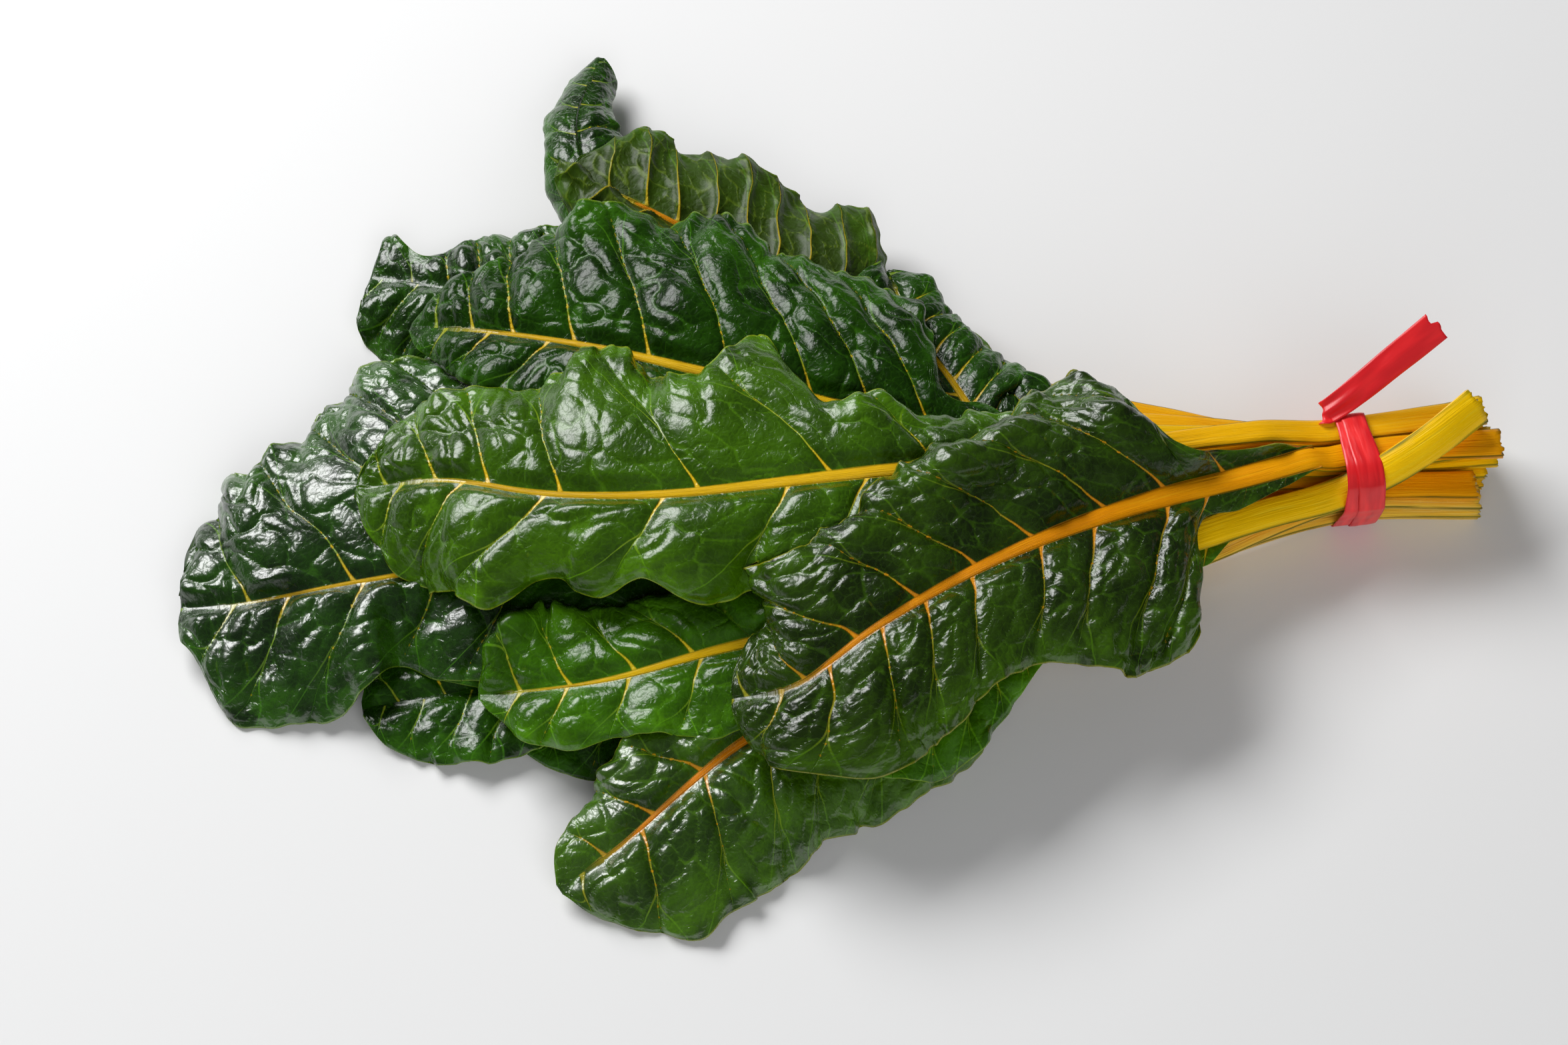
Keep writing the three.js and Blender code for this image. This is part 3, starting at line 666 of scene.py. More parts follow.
class Socket:
    """A number that varies over a surface, written as it is in a formula."""

    def __init__(self, graph: Graph, socket: Any) -> None:
        """Takes the graph and the output socket that gives the number."""
        self.graph = graph
        self.socket = socket

    def math(self, operation: str, *others: Any, first: Any = None) -> Socket:
        """Adds a Math node.

        Args:
            operation: The node's operation.
            others: The numbers or sockets that come after this one.
            first: What comes before this one, if anything does.

        Returns:
            The result.
        """
        values = ([] if first is None else [first]) + [self, *others]
        node = self.graph.node("ShaderNodeMath", {"operation": operation}, dict(enumerate(values)))
        return Socket(self.graph, node.outputs[0])

    def __add__(self, other: Any) -> Socket:
        """The sum."""
        return self.math("ADD", other)

    __radd__ = __add__

    def __sub__(self, other: Any) -> Socket:
        """The difference."""
        return self.math("SUBTRACT", other)

    def __rsub__(self, other: Any) -> Socket:
        """The difference, taken the other way round."""
        return self.math("SUBTRACT", first=other)

    def __mul__(self, other: Any) -> Socket:
        """The product."""
        return self.math("MULTIPLY", other)

    __rmul__ = __mul__

    def __truediv__(self, other: Any) -> Socket:
        """The quotient."""
        return self.math("DIVIDE", other)

    def __rtruediv__(self, other: Any) -> Socket:
        """The quotient, taken the other way round."""
        return self.math("DIVIDE", first=other)

    def __abs__(self) -> Socket:
        """The size without its sign."""
        return self.math("ABSOLUTE")

    def fraction(self) -> Socket:
        """What is left after the whole number below."""
        return self.math("FRACT")

    def larger(self, other: Any) -> Socket:
        """The larger of the two."""
        return self.math("MAXIMUM", other)

    def rising(self, low: float, high: float) -> Socket:
        """Rises from 0 at low to 1 at high, with level ends."""
        node = self.graph.node(
            "ShaderNodeMapRange",
            {"interpolation_type": "SMOOTHSTEP"},
            {"Value": self, "From Min": low, "From Max": high},
        )
        return Socket(self.graph, node.outputs["Result"])


class Graph:
    """The nodes of one material."""

    def __init__(self, name: str) -> None:
        """Starts an empty material of that name."""
        self.material = bpy.data.materials.new(name)
        self.material.use_nodes = True
        self.tree = self.material.node_tree
        self.tree.nodes.clear()

    def node(self, kind: str, settings: dict[str, Any], sockets: dict[Any, Any]) -> Any:
        """Adds one node.

        Args:
            kind: The node's type.
            settings: Its settings, which are set first.
            sockets: What goes into each input, a number, a colour or a link.

        Returns:
            The node.
        """
        made = self.tree.nodes.new(kind)
        for key, value in settings.items():
            setattr(made, key, value)
        for key, value in sockets.items():
            source = getattr(value, "socket", value)
            if isinstance(source, bpy.types.NodeSocket):
                self.tree.links.new(source, made.inputs[key])
            elif isinstance(source, tuple) and len(source) == 3 and made.inputs[key].type == "RGBA":
                made.inputs[key].default_value = (*source, 1.0)
            else:
                made.inputs[key].default_value = source
        return made

    def attribute(self, name: str) -> Socket:
        """A number stored at the points of the mesh."""
        node = self.node("ShaderNodeAttribute", {"attribute_name": name}, {})
        return Socket(self, node.outputs["Fac"])

    def place(self, x: Any, y: Any, z: Any = 0.0) -> Any:
        """Three numbers as one vector."""
        return self.node("ShaderNodeCombineXYZ", {}, {"X": x, "Y": y, "Z": z}).outputs["Vector"]

    def object_place(self) -> Any:
        """Where a point is on its object, in metres."""
        return self.node("ShaderNodeTexCoord", {}, {}).outputs["Object"]

    def noise(self, place: Any, scale: float = 1.0, detail: float = 2.0, rough: float = 0.5) -> Socket:
        """Cloudy noise.

        Args:
            place: Where on the surface.
            scale: How fine it is.
            detail: How many finer layers it has.
            rough: How strong these are.

        Returns:
            A number around 0.5.
        """
        sockets = {"Vector": place, "Scale": scale, "Detail": detail, "Roughness": rough}
        return Socket(self, self.node("ShaderNodeTexNoise", {}, sockets).outputs["Fac"])

    def network(self, place: Any, scale: float = 1.0) -> Socket:
        """The distance to the lines of a random network of cells."""
        settings = {"feature": "DISTANCE_TO_EDGE"}
        sockets = {"Vector": place, "Scale": scale}
        return Socket(self, self.node("ShaderNodeTexVoronoi", settings, sockets).outputs["Distance"])

    def mix(self, factor: Any, a: Any, b: Any) -> Any:
        """Goes from colour a to colour b as the factor goes from 0 to 1."""
        settings = {"data_type": "RGBA", "clamp_factor": True}
        return self.node("ShaderNodeMix", settings, {0: factor, 6: a, 7: b}).outputs[2]

    def bump(self, height: Any, distance: float = MM, strength: float = 1.0) -> Any:
        """The tilt of the surface under small relief, whose height is in units of distance."""
        sockets = {"Height": height, "Distance": distance, "Strength": strength}
        return self.node("ShaderNodeBump", {}, sockets).outputs["Normal"]

    def finish(self, **sockets: Any) -> bpy.types.Material:
        """Closes the material with one Principled BSDF.

        Args:
            sockets: Its inputs, with underscores for the spaces in their names.

        Returns:
            The material.
        """
        named = {key.replace("_", " "): value for key, value in sockets.items()}
        shader = self.node("ShaderNodeBsdfPrincipled", {}, named)
        self.node("ShaderNodeOutputMaterial", {}, {"Surface": shader.outputs["BSDF"]})
        return self.material


@dataclass(frozen=True)
class Marks:
    """How high or deep the small marks in a leaf's skin are, in millimetres."""

    vein: float = 0.3
    small_vein: float = 0.13
    web: float = 0.04
    crease: float = 0.12
    grain: float = 0.05
    pucker: float = 0.27


@dataclass(frozen=True)
class LeafFinish:
    """The colours of one kind of blade.

    Attributes:
        slot: The name of its material slot.
        shade: The darkest green of its skin.
        body: The green of most of its skin.
        sunny: The light green painted in patches towards its edge as painted light, and the green that
            the veins fade into.
        vein: The side veins near the rib, and the rim of the rib.
        pale: The thin line along its edge, and the fine veins on its underside.
        roughness: How rough the skin is under its wet gloss.
        duller: How much rougher the underside is.
        marks: The small marks in the skin.
    """

    slot: str
    shade: Colour
    body: Colour
    sunny: Colour
    vein: Colour
    pale: Colour
    roughness: float = 0.2
    duller: float = 0.22
    marks: Marks = Marks()

    def make(self, name: str, underside: bool, gloss: Triple) -> bpy.types.Material:
        """Builds the material of one side of a blade.

        Args:
            name: The material's name.
            underside: Whether veins stand out and the skin is dull, as below a leaf.
            gloss: How strong and how rough the wet gloss is, and how strong the sheen below it.

        Returns:
            The material.
        """
        g = Graph(name)
        shine, soft, sheen = gloss
        phase, reach, share = g.attribute("phase"), g.attribute("reach"), g.attribute("share")
        along, cell, gap = g.attribute("along"), g.attribute("cell"), g.attribute("gap")
        far_along = g.attribute("far")

        # Side veins, which fork towards the edge, and the net of fine veins between them
        off_vein = (phase + 0.5).fraction() - 0.5
        root = 1 / (1 + reach * 0.3)
        half_width = 0.15 + 0.26 * (1 - share) + 0.7 * root * root
        main = 1 - (abs(off_vein) * gap / half_width).rising(0.5, 1.3)
        fork = abs(off_vein - share.rising(0.4, 1.1) * 0.4) * gap
        back_fork = abs(off_vein + share.rising(0.5, 1.1) * 0.36) * gap
        forks = (1 - fork.rising(0.12, 0.5)) * share.rising(0.38, 0.5)
        forks = forks.larger((1 - back_fork.rising(0.12, 0.45)) * share.rising(0.48, 0.6))
        small = 1 - cell.rising(0.1, 1.1)
        flat = g.place(along, reach)
        wavy = g.place(along + g.noise(flat, 0.3) * 2.4, reach + g.noise(flat, 0.27) * 2.4)
        web = 1 - g.network(wavy, 0.33).rising(0.02, 0.13)

        # Clouds of colour, grain, long creases and fine puckers
        tone = g.noise(flat, 0.045, 3.0, 0.55)
        grain = g.noise(flat, 0.9, 2.0, 0.5)
        creases = 1 - abs(g.noise(flat, 0.22, 1.0, 0.5) - 0.5) * 5
        pucker = g.noise(wavy, 0.4, 2.0, 0.55)

        # The skin's greens with painted light in patches towards the edge, then the veins on it, the rim
        # of the rib and the line along the edge
        colour = g.mix(tone.rising(0.36, 0.66), self.shade, self.body)
        # Painted light: lighter green in random patches towards the edge
        lit = share.rising(0.45, 1.0) * g.noise(flat, 0.07, 2.0).rising(0.38, 0.6)
        colour = g.mix(lit * 0.75, colour, self.sunny)
        colour = g.mix(small * 0.5, colour, self.pale if underside else self.sunny)
        colour = g.mix(web * 0.12, colour, self.sunny)
        colour = g.mix(grain.rising(0.3, 0.75) * 0.3, colour, self.shade)
        far = g.mix(share.rising(0.3, 0.8), self.pale, self.sunny)
        colour = g.mix(forks * 0.85, colour, far)
        out = share * 0.6 if underside else reach.rising(2.0, 13.0)
        near = g.mix(out.larger(far_along.rising(0.8, 1.0)), self.vein, far)
        colour = g.mix(main * (1 - share * 0.3), colour, near)
        edge_of_rib = (1 - reach.rising(0.05, 0.5)) * (1 - far_along.rising(0.86, 0.96))
        colour = g.mix(edge_of_rib * 0.8, colour, near)
        colour = g.mix(share.rising(0.98, 0.998) * 0.8, colour, self.pale)

        marks, sign = self.marks, 1.0 if underside else -1.0
        height = main * (marks.vein * sign) + small * (marks.small_vein * sign)
        height = height + web * (marks.web * sign) - creases.rising(0.4, 1.0) * marks.crease
        height = height + grain * marks.grain + pucker * marks.pucker
        rough = self.roughness + grain * 0.12 + main * 0.06
        if underside:
            return g.finish(
                Base_Color=g.mix(0.1, colour, self.pale),
                Roughness=rough + self.duller,
                Normal=g.bump(height),
                Specular_IOR_Level=0.15,
                Coat_Weight=0.2,
                Coat_Roughness=0.25,
            )
        return g.finish(
            Base_Color=colour,
            Roughness=rough,
            Normal=g.bump(height),
            Specular_IOR_Level=sheen,
            Coat_Weight=shine,
            Coat_Roughness=soft,
            Coat_IOR=1.47,
        )


@dataclass(frozen=True)
class StemFinish:
    """The colours of one kind of stem and rib.

    Attributes:
        slot: The name of its material slot.
        base: The colour of the stalk.
        body: The colour of the rib.
        streak: The fine lengthwise lines.
        edge: The green along its shoulders.
        cut: The pith where it is cut.
        edging: Where on its way outwards the green begins.
    """

    slot: str
    base: Colour
    body: Colour
    streak: Colour
    edge: Colour
    cut: Colour = (0.62, 0.55, 0.28)
    edging: float = 0.9

    def make(self, name: str) -> bpy.types.Material:
        """Builds the material of the skin of a stem.

        Args:
            name: The material's name.

        Returns:
            The material.
        """
        g = Graph(name)
        along, around, share = g.attribute("along"), g.attribute("around"), g.attribute("share")
        shoulder = g.attribute("shoulder")
        fibres = g.noise(g.place(around * 26, along * 0.035), 1.0, 3.0, 0.6)
        strands = g.noise(g.place(around * 70, along * 0.06), 1.0, 2.0, 0.5)
        patches = g.noise(g.place(around * 2.5, along * 0.06), 1.0, 2.0)
        ticks = g.noise(g.place(around * 9, along * 0.9), 1.0, 2.0)
        colour = g.mix((share * 1.1 + patches * 0.5).rising(0.1, 0.75), self.base, self.body)
        colour = g.mix(fibres.rising(0.5, 0.72) * 0.55, colour, self.streak)
        colour = g.mix(strands.rising(0.55, 0.75) * 0.25, colour, self.base)
        colour = g.mix(ticks.rising(0.58, 0.75) * 0.2, colour, self.streak)
        ragged = g.noise(g.place(around * 3, along * 0.03)).rising(0.3, 0.5)
        colour = g.mix(shoulder.rising(self.edging, 0.985) * ragged * 0.85, colour, self.edge)
        height = fibres * 0.5 + strands * 0.22 + ticks * 0.05
        return g.finish(
            Base_Color=colour,
            Roughness=0.32 + patches * 0.15,
            Normal=g.bump(height),
            Specular_IOR_Level=0.15,
            Coat_Weight=0.08,
            Coat_Roughness=0.2,
        )

    def make_cut(self, name: str) -> bpy.types.Material:
        """Builds the material of the cut end: wet pith with darker strands."""
        g = Graph(name)
        place = g.object_place()
        strands = g.network(place, 900.0).rising(0.05, 0.3)
        mottle = g.noise(place, 250.0, 3.0)
        colour = g.mix(strands, self.streak, self.cut)
        colour = g.mix(mottle.rising(0.45, 0.7) * 0.5, colour, self.edge)
        return g.finish(Base_Color=colour, Roughness=0.5, Normal=g.bump(strands * 0.3 + mottle * 0.5))


LEAF_FINISHES = {
    "dark": LeafFinish(
        "dark_leaf", (0.004, 0.018, 0.0005), (0.013, 0.056, 0.0012), (0.04, 0.15, 0.004),
        (0.62, 0.4, 0.01), (0.16, 0.28, 0.015),
    ),
    "deep": LeafFinish(
        "dark_leaf", (0.007, 0.018, 0.0004), (0.023, 0.058, 0.001), (0.055, 0.145, 0.002),
        (0.7, 0.27, 0.004), (0.26, 0.27, 0.01),
    ),
    # A lighter copy of the deep green for the bottom leaf: painted light
    "painted_lit_deep": LeafFinish(
        "dark_leaf", (0.014, 0.042, 0.0006), (0.042, 0.118, 0.0012), (0.085, 0.22, 0.004),
        (0.7, 0.3, 0.004), (0.26, 0.3, 0.01),
    ),
    "fresh": LeafFinish(
        "light_leaf", (0.02, 0.058, 0.0005), (0.042, 0.118, 0.001), (0.095, 0.25, 0.003),
        (0.75, 0.48, 0.01), (0.3, 0.4, 0.02),
    ),
    "bright": LeafFinish(
        "light_leaf", (0.022, 0.075, 0.0008), (0.044, 0.155, 0.0015), (0.09, 0.27, 0.005),
        (0.62, 0.46, 0.012), (0.24, 0.38, 0.02),
    ),
    "olive": LeafFinish(
        "leaf_underside", (0.009, 0.025, 0.0006), (0.02, 0.052, 0.001), (0.042, 0.125, 0.003),
        (0.5, 0.34, 0.01), (0.14, 0.22, 0.012), roughness=0.24,
    ),
}

STEM_FINISHES = {
    "yellow": StemFinish(
        "yellow_stem", (0.97, 0.57, 0.001), (0.78, 0.46, 0.002), (0.95, 0.68, 0.02), (0.06, 0.13, 0.006)
    ),
    "lemon": StemFinish(
        "yellow_stem", (0.97, 0.58, 0.001), (0.8, 0.48, 0.002), (0.95, 0.68, 0.02), (0.03, 0.1, 0.003),
        edging=0.76,
    ),
    "golden": StemFinish(
        "yellow_stem", (0.95, 0.48, 0.003), (0.78, 0.46, 0.002), (0.95, 0.6, 0.04), (0.07, 0.12, 0.006)
    ),
    "amber": StemFinish(
        "orange_stem", (0.93, 0.46, 0.003), (0.76, 0.26, 0.001), (0.92, 0.55, 0.03), (0.07, 0.12, 0.006)
    ),
    "straw": StemFinish(
        "orange_stem", (0.9, 0.6, 0.06), (0.8, 0.24, 0.001), (0.88, 0.68, 0.2), (0.1, 0.14, 0.01)
    ),
    "orange": StemFinish(
        "orange_stem", (0.95, 0.4, 0.001), (0.76, 0.26, 0.001), (0.92, 0.44, 0.006), (0.04, 0.085, 0.004)
    ),
}


class Model:
    """Makes mesh objects out of arrays of points and faces, and counts their triangles."""

    all_triangles = 0

    def __init__(self, name: str) -> None:
        """Starts a model of that name."""
        self.name = name
        self.points: list[np.ndarray] = []
        self.faces: list[tuple[np.ndarray, int]] = []
        self.numbers: dict[str, list[np.ndarray]] = {}
        self.count = 0

    def add(
        self, points: np.ndarray, faces: np.ndarray, slot: int = 0, **numbers: np.ndarray
    ) -> np.ndarray:
        """Adds points, and faces between them.

        Args:
            points: The points, in millimetres.
            faces: Rows of three or four places in points.
            slot: The material of the faces.
            numbers: What is stored at each point, by name.

        Returns:
            The place in the whole model of each point.
        """
        flat = points.reshape(-1, 3)
        first = self.count
        self.points.append(flat)
        self.faces.append((faces + first, slot))
        for key, values in numbers.items():
            self.numbers.setdefault(key, []).append(np.broadcast_to(values, points.shape[:-1]).ravel())
        self.count += len(flat)
        return np.arange(first, self.count)

    def join(self, faces: np.ndarray, slot: int = 0) -> None:
        """Adds faces between points that are in the model already."""
        self.faces.append((faces, slot))

    def bridge(self, ring: np.ndarray, other: np.ndarray, slot: int = 0) -> None:
        """Adds faces between two rings of points that are in the model already."""
        self.join(np.stack([ring, np.roll(ring, -1), np.roll(other, -1), other], axis=1), slot)

    def close(self, ring: np.ndarray, hub: np.ndarray, slot: int = 0, turned: bool = False) -> None:
        """Closes a ring of points in the model with triangles that meet in a new point.

        Args:
            ring: The places of the ring's points in the model.
            hub: The new point, at which zeros are stored.
            slot: The material of the triangles.
            turned: Whether they face the other way.
        """
        zeros = {key: np.zeros(1) for key in self.numbers}
        hubs = np.repeat(self.add(hub[None], np.zeros((0, 3), int), slot, **zeros), len(ring))
        after = np.roll(ring, -1)
        corners = [ring, hubs, after] if turned else [ring, after, hubs]
        self.join(np.stack(corners, axis=1), slot)

    def build(self, materials: Sequence[bpy.types.Material]) -> bpy.types.Object:
        """Makes the object.

        Args:
            materials: One for each slot.

        Returns:
            The object, smooth shaded and linked to the scene.
        """
        mesh = bpy.data.meshes.new(self.name)
        points = np.concatenate(self.points) * MM
        points[:, 2] = np.maximum(points[:, 2], TABLE_GAP * MM)
        corners = np.concatenate([faces.ravel() for faces, _ in self.faces])
        sizes = np.concatenate([np.full(len(faces), faces.shape[1]) for faces, _ in self.faces])
        slots = np.concatenate([np.full(len(faces), slot) for faces, slot in self.faces])
        mesh.vertices.add(len(points))
        mesh.vertices.foreach_set("co", points.astype(np.float32).ravel())
        mesh.loops.add(len(corners))
        mesh.loops.foreach_set("vertex_index", corners.astype(np.int32))
        mesh.polygons.add(len(sizes))
        mesh.polygons.foreach_set("loop_start", (np.cumsum(sizes) - sizes).astype(np.int32))
        mesh.polygons.foreach_set("material_index", slots.astype(np.int32))
        mesh.polygons.foreach_set("use_smooth", np.ones(len(sizes), bool))
        for key, values in self.numbers.items():
            stored = mesh.attributes.new(key, "FLOAT", "POINT")
            stored.data.foreach_set("value", np.concatenate(values).astype(np.float32))
        mesh.update(calc_edges=True)
        mesh.validate()
        for material in materials:
            mesh.materials.append(material)
        made = bpy.data.objects.new(self.name, mesh)
        bpy.context.scene.collection.objects.link(made)
        triangles = int((sizes - 2).sum())
        log.info("%s: %d triangles", self.name, triangles)
        Model.all_triangles += triangles
        return made


def quads(rows: int, columns: int, closed: bool = False) -> np.ndarray:
    """The faces of a grid of points.

    Args:
        rows: How many rows of points.
        columns: How many points in a row.
        closed: Whether a row's last point joins its first.

    Returns:
        Rows of four places in the grid.
    """
    strips = columns if closed else columns - 1
    i, j = np.divmod(np.arange((rows - 1) * strips), strips)
    near, k = i * columns, (j + 1) % columns
    far = near + columns
    return np.stack([near + j, near + k, far + k, far + j], axis=1)


class Heap:
    """The highest point of what already lies in the bunch, over each square millimetre of the table."""

    LOW = (-260.0, -210.0)
    SIDES = (520, 430)

    def __init__(self) -> None:
        """Starts with a bare table."""
        self.tops = np.zeros(self.SIDES)

    def cells(self, points: np.ndarray) -> tuple[np.ndarray, np.ndarray]:
        """The square that each point is over."""
        x = np.clip((points[..., 0] - self.LOW[0]).astype(int), 1, self.SIDES[0] - 2)
        y = np.clip((points[..., 1] - self.LOW[1]).astype(int), 1, self.SIDES[1] - 2)
        return x, y

    def lay(self, points: np.ndarray) -> None:
        """Adds the upper side of a piece."""
        np.maximum.at(self.tops, self.cells(points), points[..., 2])

    def top(self, points: np.ndarray) -> np.ndarray:
        """The height of the heap at each point and just around it."""
        x, y = self.cells(points)
        around = [self.tops[x + i, y + j] for i in (-1, 0, 1) for j in (-1, 0, 1)]
        return np.max(around, axis=0)


@dataclass
class Leaf:
    """The line of a leaf, which its blade and its stalk follow.

    Attributes:
        plan: Its measurements.
        order: Its place in the heap, counted from below.
    """

    plan: LeafPlan
    order: int

    def __post_init__(self) -> None:
        """Works out the line, and where on it the tie and the blade are."""
        plan = self.plan
        self.seed = SEED + 7.0 * self.order
        lift = (RIB_DEPTH - RIB_PROUD) / 2
        places = [
            (plan.cut[0], plan.cut[1], plan.cut[2] + lift * STEM_AT_CUT),
            *plan.through,
            (BAND[0], plan.band[0], plan.band[1] + lift * STEM_AT_BAND),
            *plan.rib,
        ]
        self.curve = Curve([np.array(place) + SHIFT for place in places])
        self.band_at = float(self.curve.reach[1 + len(plan.through)])
        self.blade_at = lerp(self.band_at, self.curve.length, plan.start)
        self.blade_length = self.curve.length - self.blade_at

    def blade_share(self, distance: np.ndarray) -> np.ndarray:
        """How far along the blade each distance from the cut is, as a share, and 0 below the blade."""
        return np.clip((distance - self.blade_at) / self.blade_length, 0, 1)

    def rib_width(self, share: np.ndarray) -> np.ndarray:
        """The width of the rib at shares of the way along the blade."""
        return np.interp(share, np.linspace(0, 1, len(self.plan.ribs)), self.plan.ribs)

    def stem_width(self, distance: np.ndarray) -> np.ndarray:
        """The width of the stalk at distances from its cut."""
        base = self.plan.ribs[0]
        below = lerp(STEM_AT_CUT, STEM_AT_BAND, distance / self.band_at)
        between = lerp(STEM_AT_BAND, base, (distance - self.band_at) / (self.blade_at - self.band_at))
        stalk = self.plan.stout * np.where(distance < self.band_at, below, between)
        return np.where(distance < self.blade_at, stalk, self.rib_width(self.blade_share(distance)))

    def stations(self, distance: np.ndarray) -> tuple[np.ndarray, np.ndarray, np.ndarray]:
        """The stalk's places and directions before it came to rest on the others.

        Args:
            distance: Distances from the cut.

        Returns:
            The middle of its face, the direction to its left and the direction out of its face.
        """
        point, along = self.curve.at(distance)
        left = unit(np.cross([0.0, 0.0, 1.0], along))
        up = np.cross(along, left)
        cut, base, tip = self.plan.lean
        stalk_lean = lerp(cut, base, np.clip(distance / self.blade_at, 0, 1))
        blade_lean = lerp(base, tip, self.blade_share(distance))
        turn = np.radians(np.where(distance < self.blade_at, stalk_lean, blade_lean))
        cos, sin = np.cos(turn)[:, None], np.sin(turn)[:, None]
        return point, left * cos - up * sin, up * cos + left * sin

    def rested(self, points: np.ndarray, part: str) -> np.ndarray:
        """Gives points the height of the corner of the solid that is straight above or below them.

        Args:
            points: The points, in millimetres.
            part: The end of the node's name.

        Returns:
            The points at their heights. One that has no corner takes the mean change of its neighbours.
        """
        same_place = 0.03
        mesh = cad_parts[f"{self.plan.name}_{part}"].data
        corners = np.zeros(len(mesh.vertices) * 3)
        mesh.vertices.foreach_get("co", corners)
        corners = corners.reshape(-1, 3) / MM
        change = np.full(len(points), np.nan)
        for i, place in enumerate(points):
            near = np.hypot(corners[:, 0] - place[0], corners[:, 1] - place[1]) < same_place
            if near.any():
                change[i] = corners[near, 2].max() - place[2]
        lost = np.isnan(change)
        if lost.any():
            log.info("%s_%s: %d of %d corners not found", self.plan.name, part, lost.sum(), len(points))
            known = np.flatnonzero(~lost)
            change[lost] = np.interp(np.flatnonzero(lost), known, change[known])
        made = points.copy()
        made[:, 2] += change
        return made


@dataclass
class Blade(Leaf):
    """The blade of a leaf: a thin sheet with puffed skin and a ruffled edge.

    Attributes:
        wave_lag: How much later the waves of the right edge begin, in waves.
        wave_width: How wide a half is where its waves are as high as planned.
        centre_columns: How many columns of points join the halves.
        tip_step: How far apart the rows past the solid's tip are, as a share of the blade.
        patch: How wide the patches of skin between fine wrinkles are.
        bare: How many times further apart side veins are where the skin is bare.
        bare_gap: The distance between side veins that tells such skin.
        clearance: What the blade keeps from what lies below it.
        most_lift: The most that it is raised for this.
        vein_depth: How far a side vein stands out below it.
        row_along: How far each row is from the base.
        middle: The middle between the halves, by row.
        to_left: The direction from there to the left half, by row.
        points: The points of the face, by row and from the left edge to the right one.
        ridge: How near each of them is to a side vein, from 0 to 1 on it.
        numbers: What else is stored at them.
        centre: The columns that join the halves.
    """

    wave_lag: float = 0.37
    wave_width: float = 25
    centre_columns: int = 5
    tip_step: float = 0.03
    patch: float = 4.8
    bare: float = 30
    bare_gap: float = 100
    clearance: float = 0.12
    most_lift: float = 6
    vein_depth: float = 0.55
    row_along: np.ndarray = field(init=False)
    middle: np.ndarray = field(init=False)
    to_left: np.ndarray = field(init=False)
    points: np.ndarray = field(init=False)
    ridge: np.ndarray = field(init=False)
    numbers: dict[str, np.ndarray] = field(init=False)
    centre: slice = field(init=False)

    def half_width(self, side: Side, step: np.ndarray) -> np.ndarray:
        """The width of one half of the blade, step rows from its base."""
        widths = self.plan.left if side is Side.LEFT else self.plan.right
        return np.interp(step / BLADE_ROWS * (len(widths) - 1), np.arange(len(widths)), widths)

    def slit(self, step: np.ndarray, distance: np.ndarray) -> np.ndarray:
        """How far a half of the blade's solid begins beside the middle of the rib.

        Args:
            step: How many rows from its base.
            distance: How far from the cut of the stalk.

        Returns:
            The distance there.
        """
        rib = lerp(RIB_AT_TIP, RIB_AT_BASE, (1 - self.blade_share(distance)) ** RIB_TAPER)
        return np.where(step <= RIB_ROWS, rib / 2 + SLOT_GAP, TIP_SLIT)

    def coarse_face(self) -> np.ndarray:
        """The face of the blade's solid, with the heights at which it rests.

        Returns:
            The points, by row from base to tip and by column from the left edge to the right one.
        """
        step = np.arange(BLADE_ROWS + 1)
        share = 1 - (1 - step / BLADE_ROWS) ** ROW_POWER
        distance = lerp(self.blade_at, self.curve.length, share)
        point, left, up = self.stations(distance)
        slit = self.slit(step, distance)
        count, height, start = self.plan.wave
        face = np.zeros((BLADE_ROWS + 1, BLADE_COLUMNS, 3))
        for column in range(BLADE_COLUMNS):
            side = Side.LEFT if column <= BLADE_CELLS else Side.RIGHT
            out = (BLADE_CELLS - column if side is Side.LEFT else column - BLADE_CELLS - 1) / BLADE_CELLS
            first, last = np.radians(self.plan.rise[2 * side.value : 2 * side.value + 2])
            width = self.half_width(side, step)
            rate = (last - first) / width
            angle = first + rate * out * width
            across = slit + (np.sin(angle) - np.sin(first)) / rate
            turn = 2 * np.pi * (count * share + start + self.wave_lag * side.value)
            rise = (np.cos(first) - np.cos(angle)) / rate
            rise = rise + height * out**2 * np.minimum(1, width / self.wave_width) * np.sin(turn)
            sign = 1 if side is Side.LEFT else -1
            face[:, column] = point + left * (sign * across)[:, None] + up * rise[:, None]
        return self.rested(face.reshape(-1, 3), "blade").reshape(face.shape)

    def sheet(self) -> None:
        """Works out the fine face of the blade, with what is stored at its points."""
        plan, length, pitch = self.plan, self.blade_length, self.plan.skin.pitch
        whole = length + plan.longer
        along = np.linspace(0, whole, int(whole / pitch) + 1)
        step = BLADE_ROWS * (1 - np.maximum(1 - along / length, 0) ** (1 / ROW_POWER))
        step = step + np.maximum(along - length, 0) / (length * self.tip_step)
        by_row = through_samples(self.coarse_face(), step)
        self.row_along = along
        beside_rib = np.maximum(self.rib_width(along / length) / 2 - 0.15, 0.25)
        inner = (0.25 if plan.sunk else beside_rib) - self.slit(step, self.blade_at + along)

        halves = []
        for side in Side:
            columns = by_row[:, BLADE_CELLS::-1] if side is Side.LEFT else by_row[:, BLADE_CELLS + 1 :]
            widths = self.half_width(side, step)
            reach = self.edge(side, along, widths)
            share = np.linspace(0, 1, int(widths.max() / pitch) + 2)
            grid = np.zeros((len(along), len(share), 3))
            for row, across in enumerate(columns):
                at = lerp(BLADE_CELLS * inner[row] / widths[row], BLADE_CELLS * reach[row], share)
                grid[row] = through_samples(across, at)
            halves.append(self.relief(side, grid, along, share))
        self.join_halves(*halves)

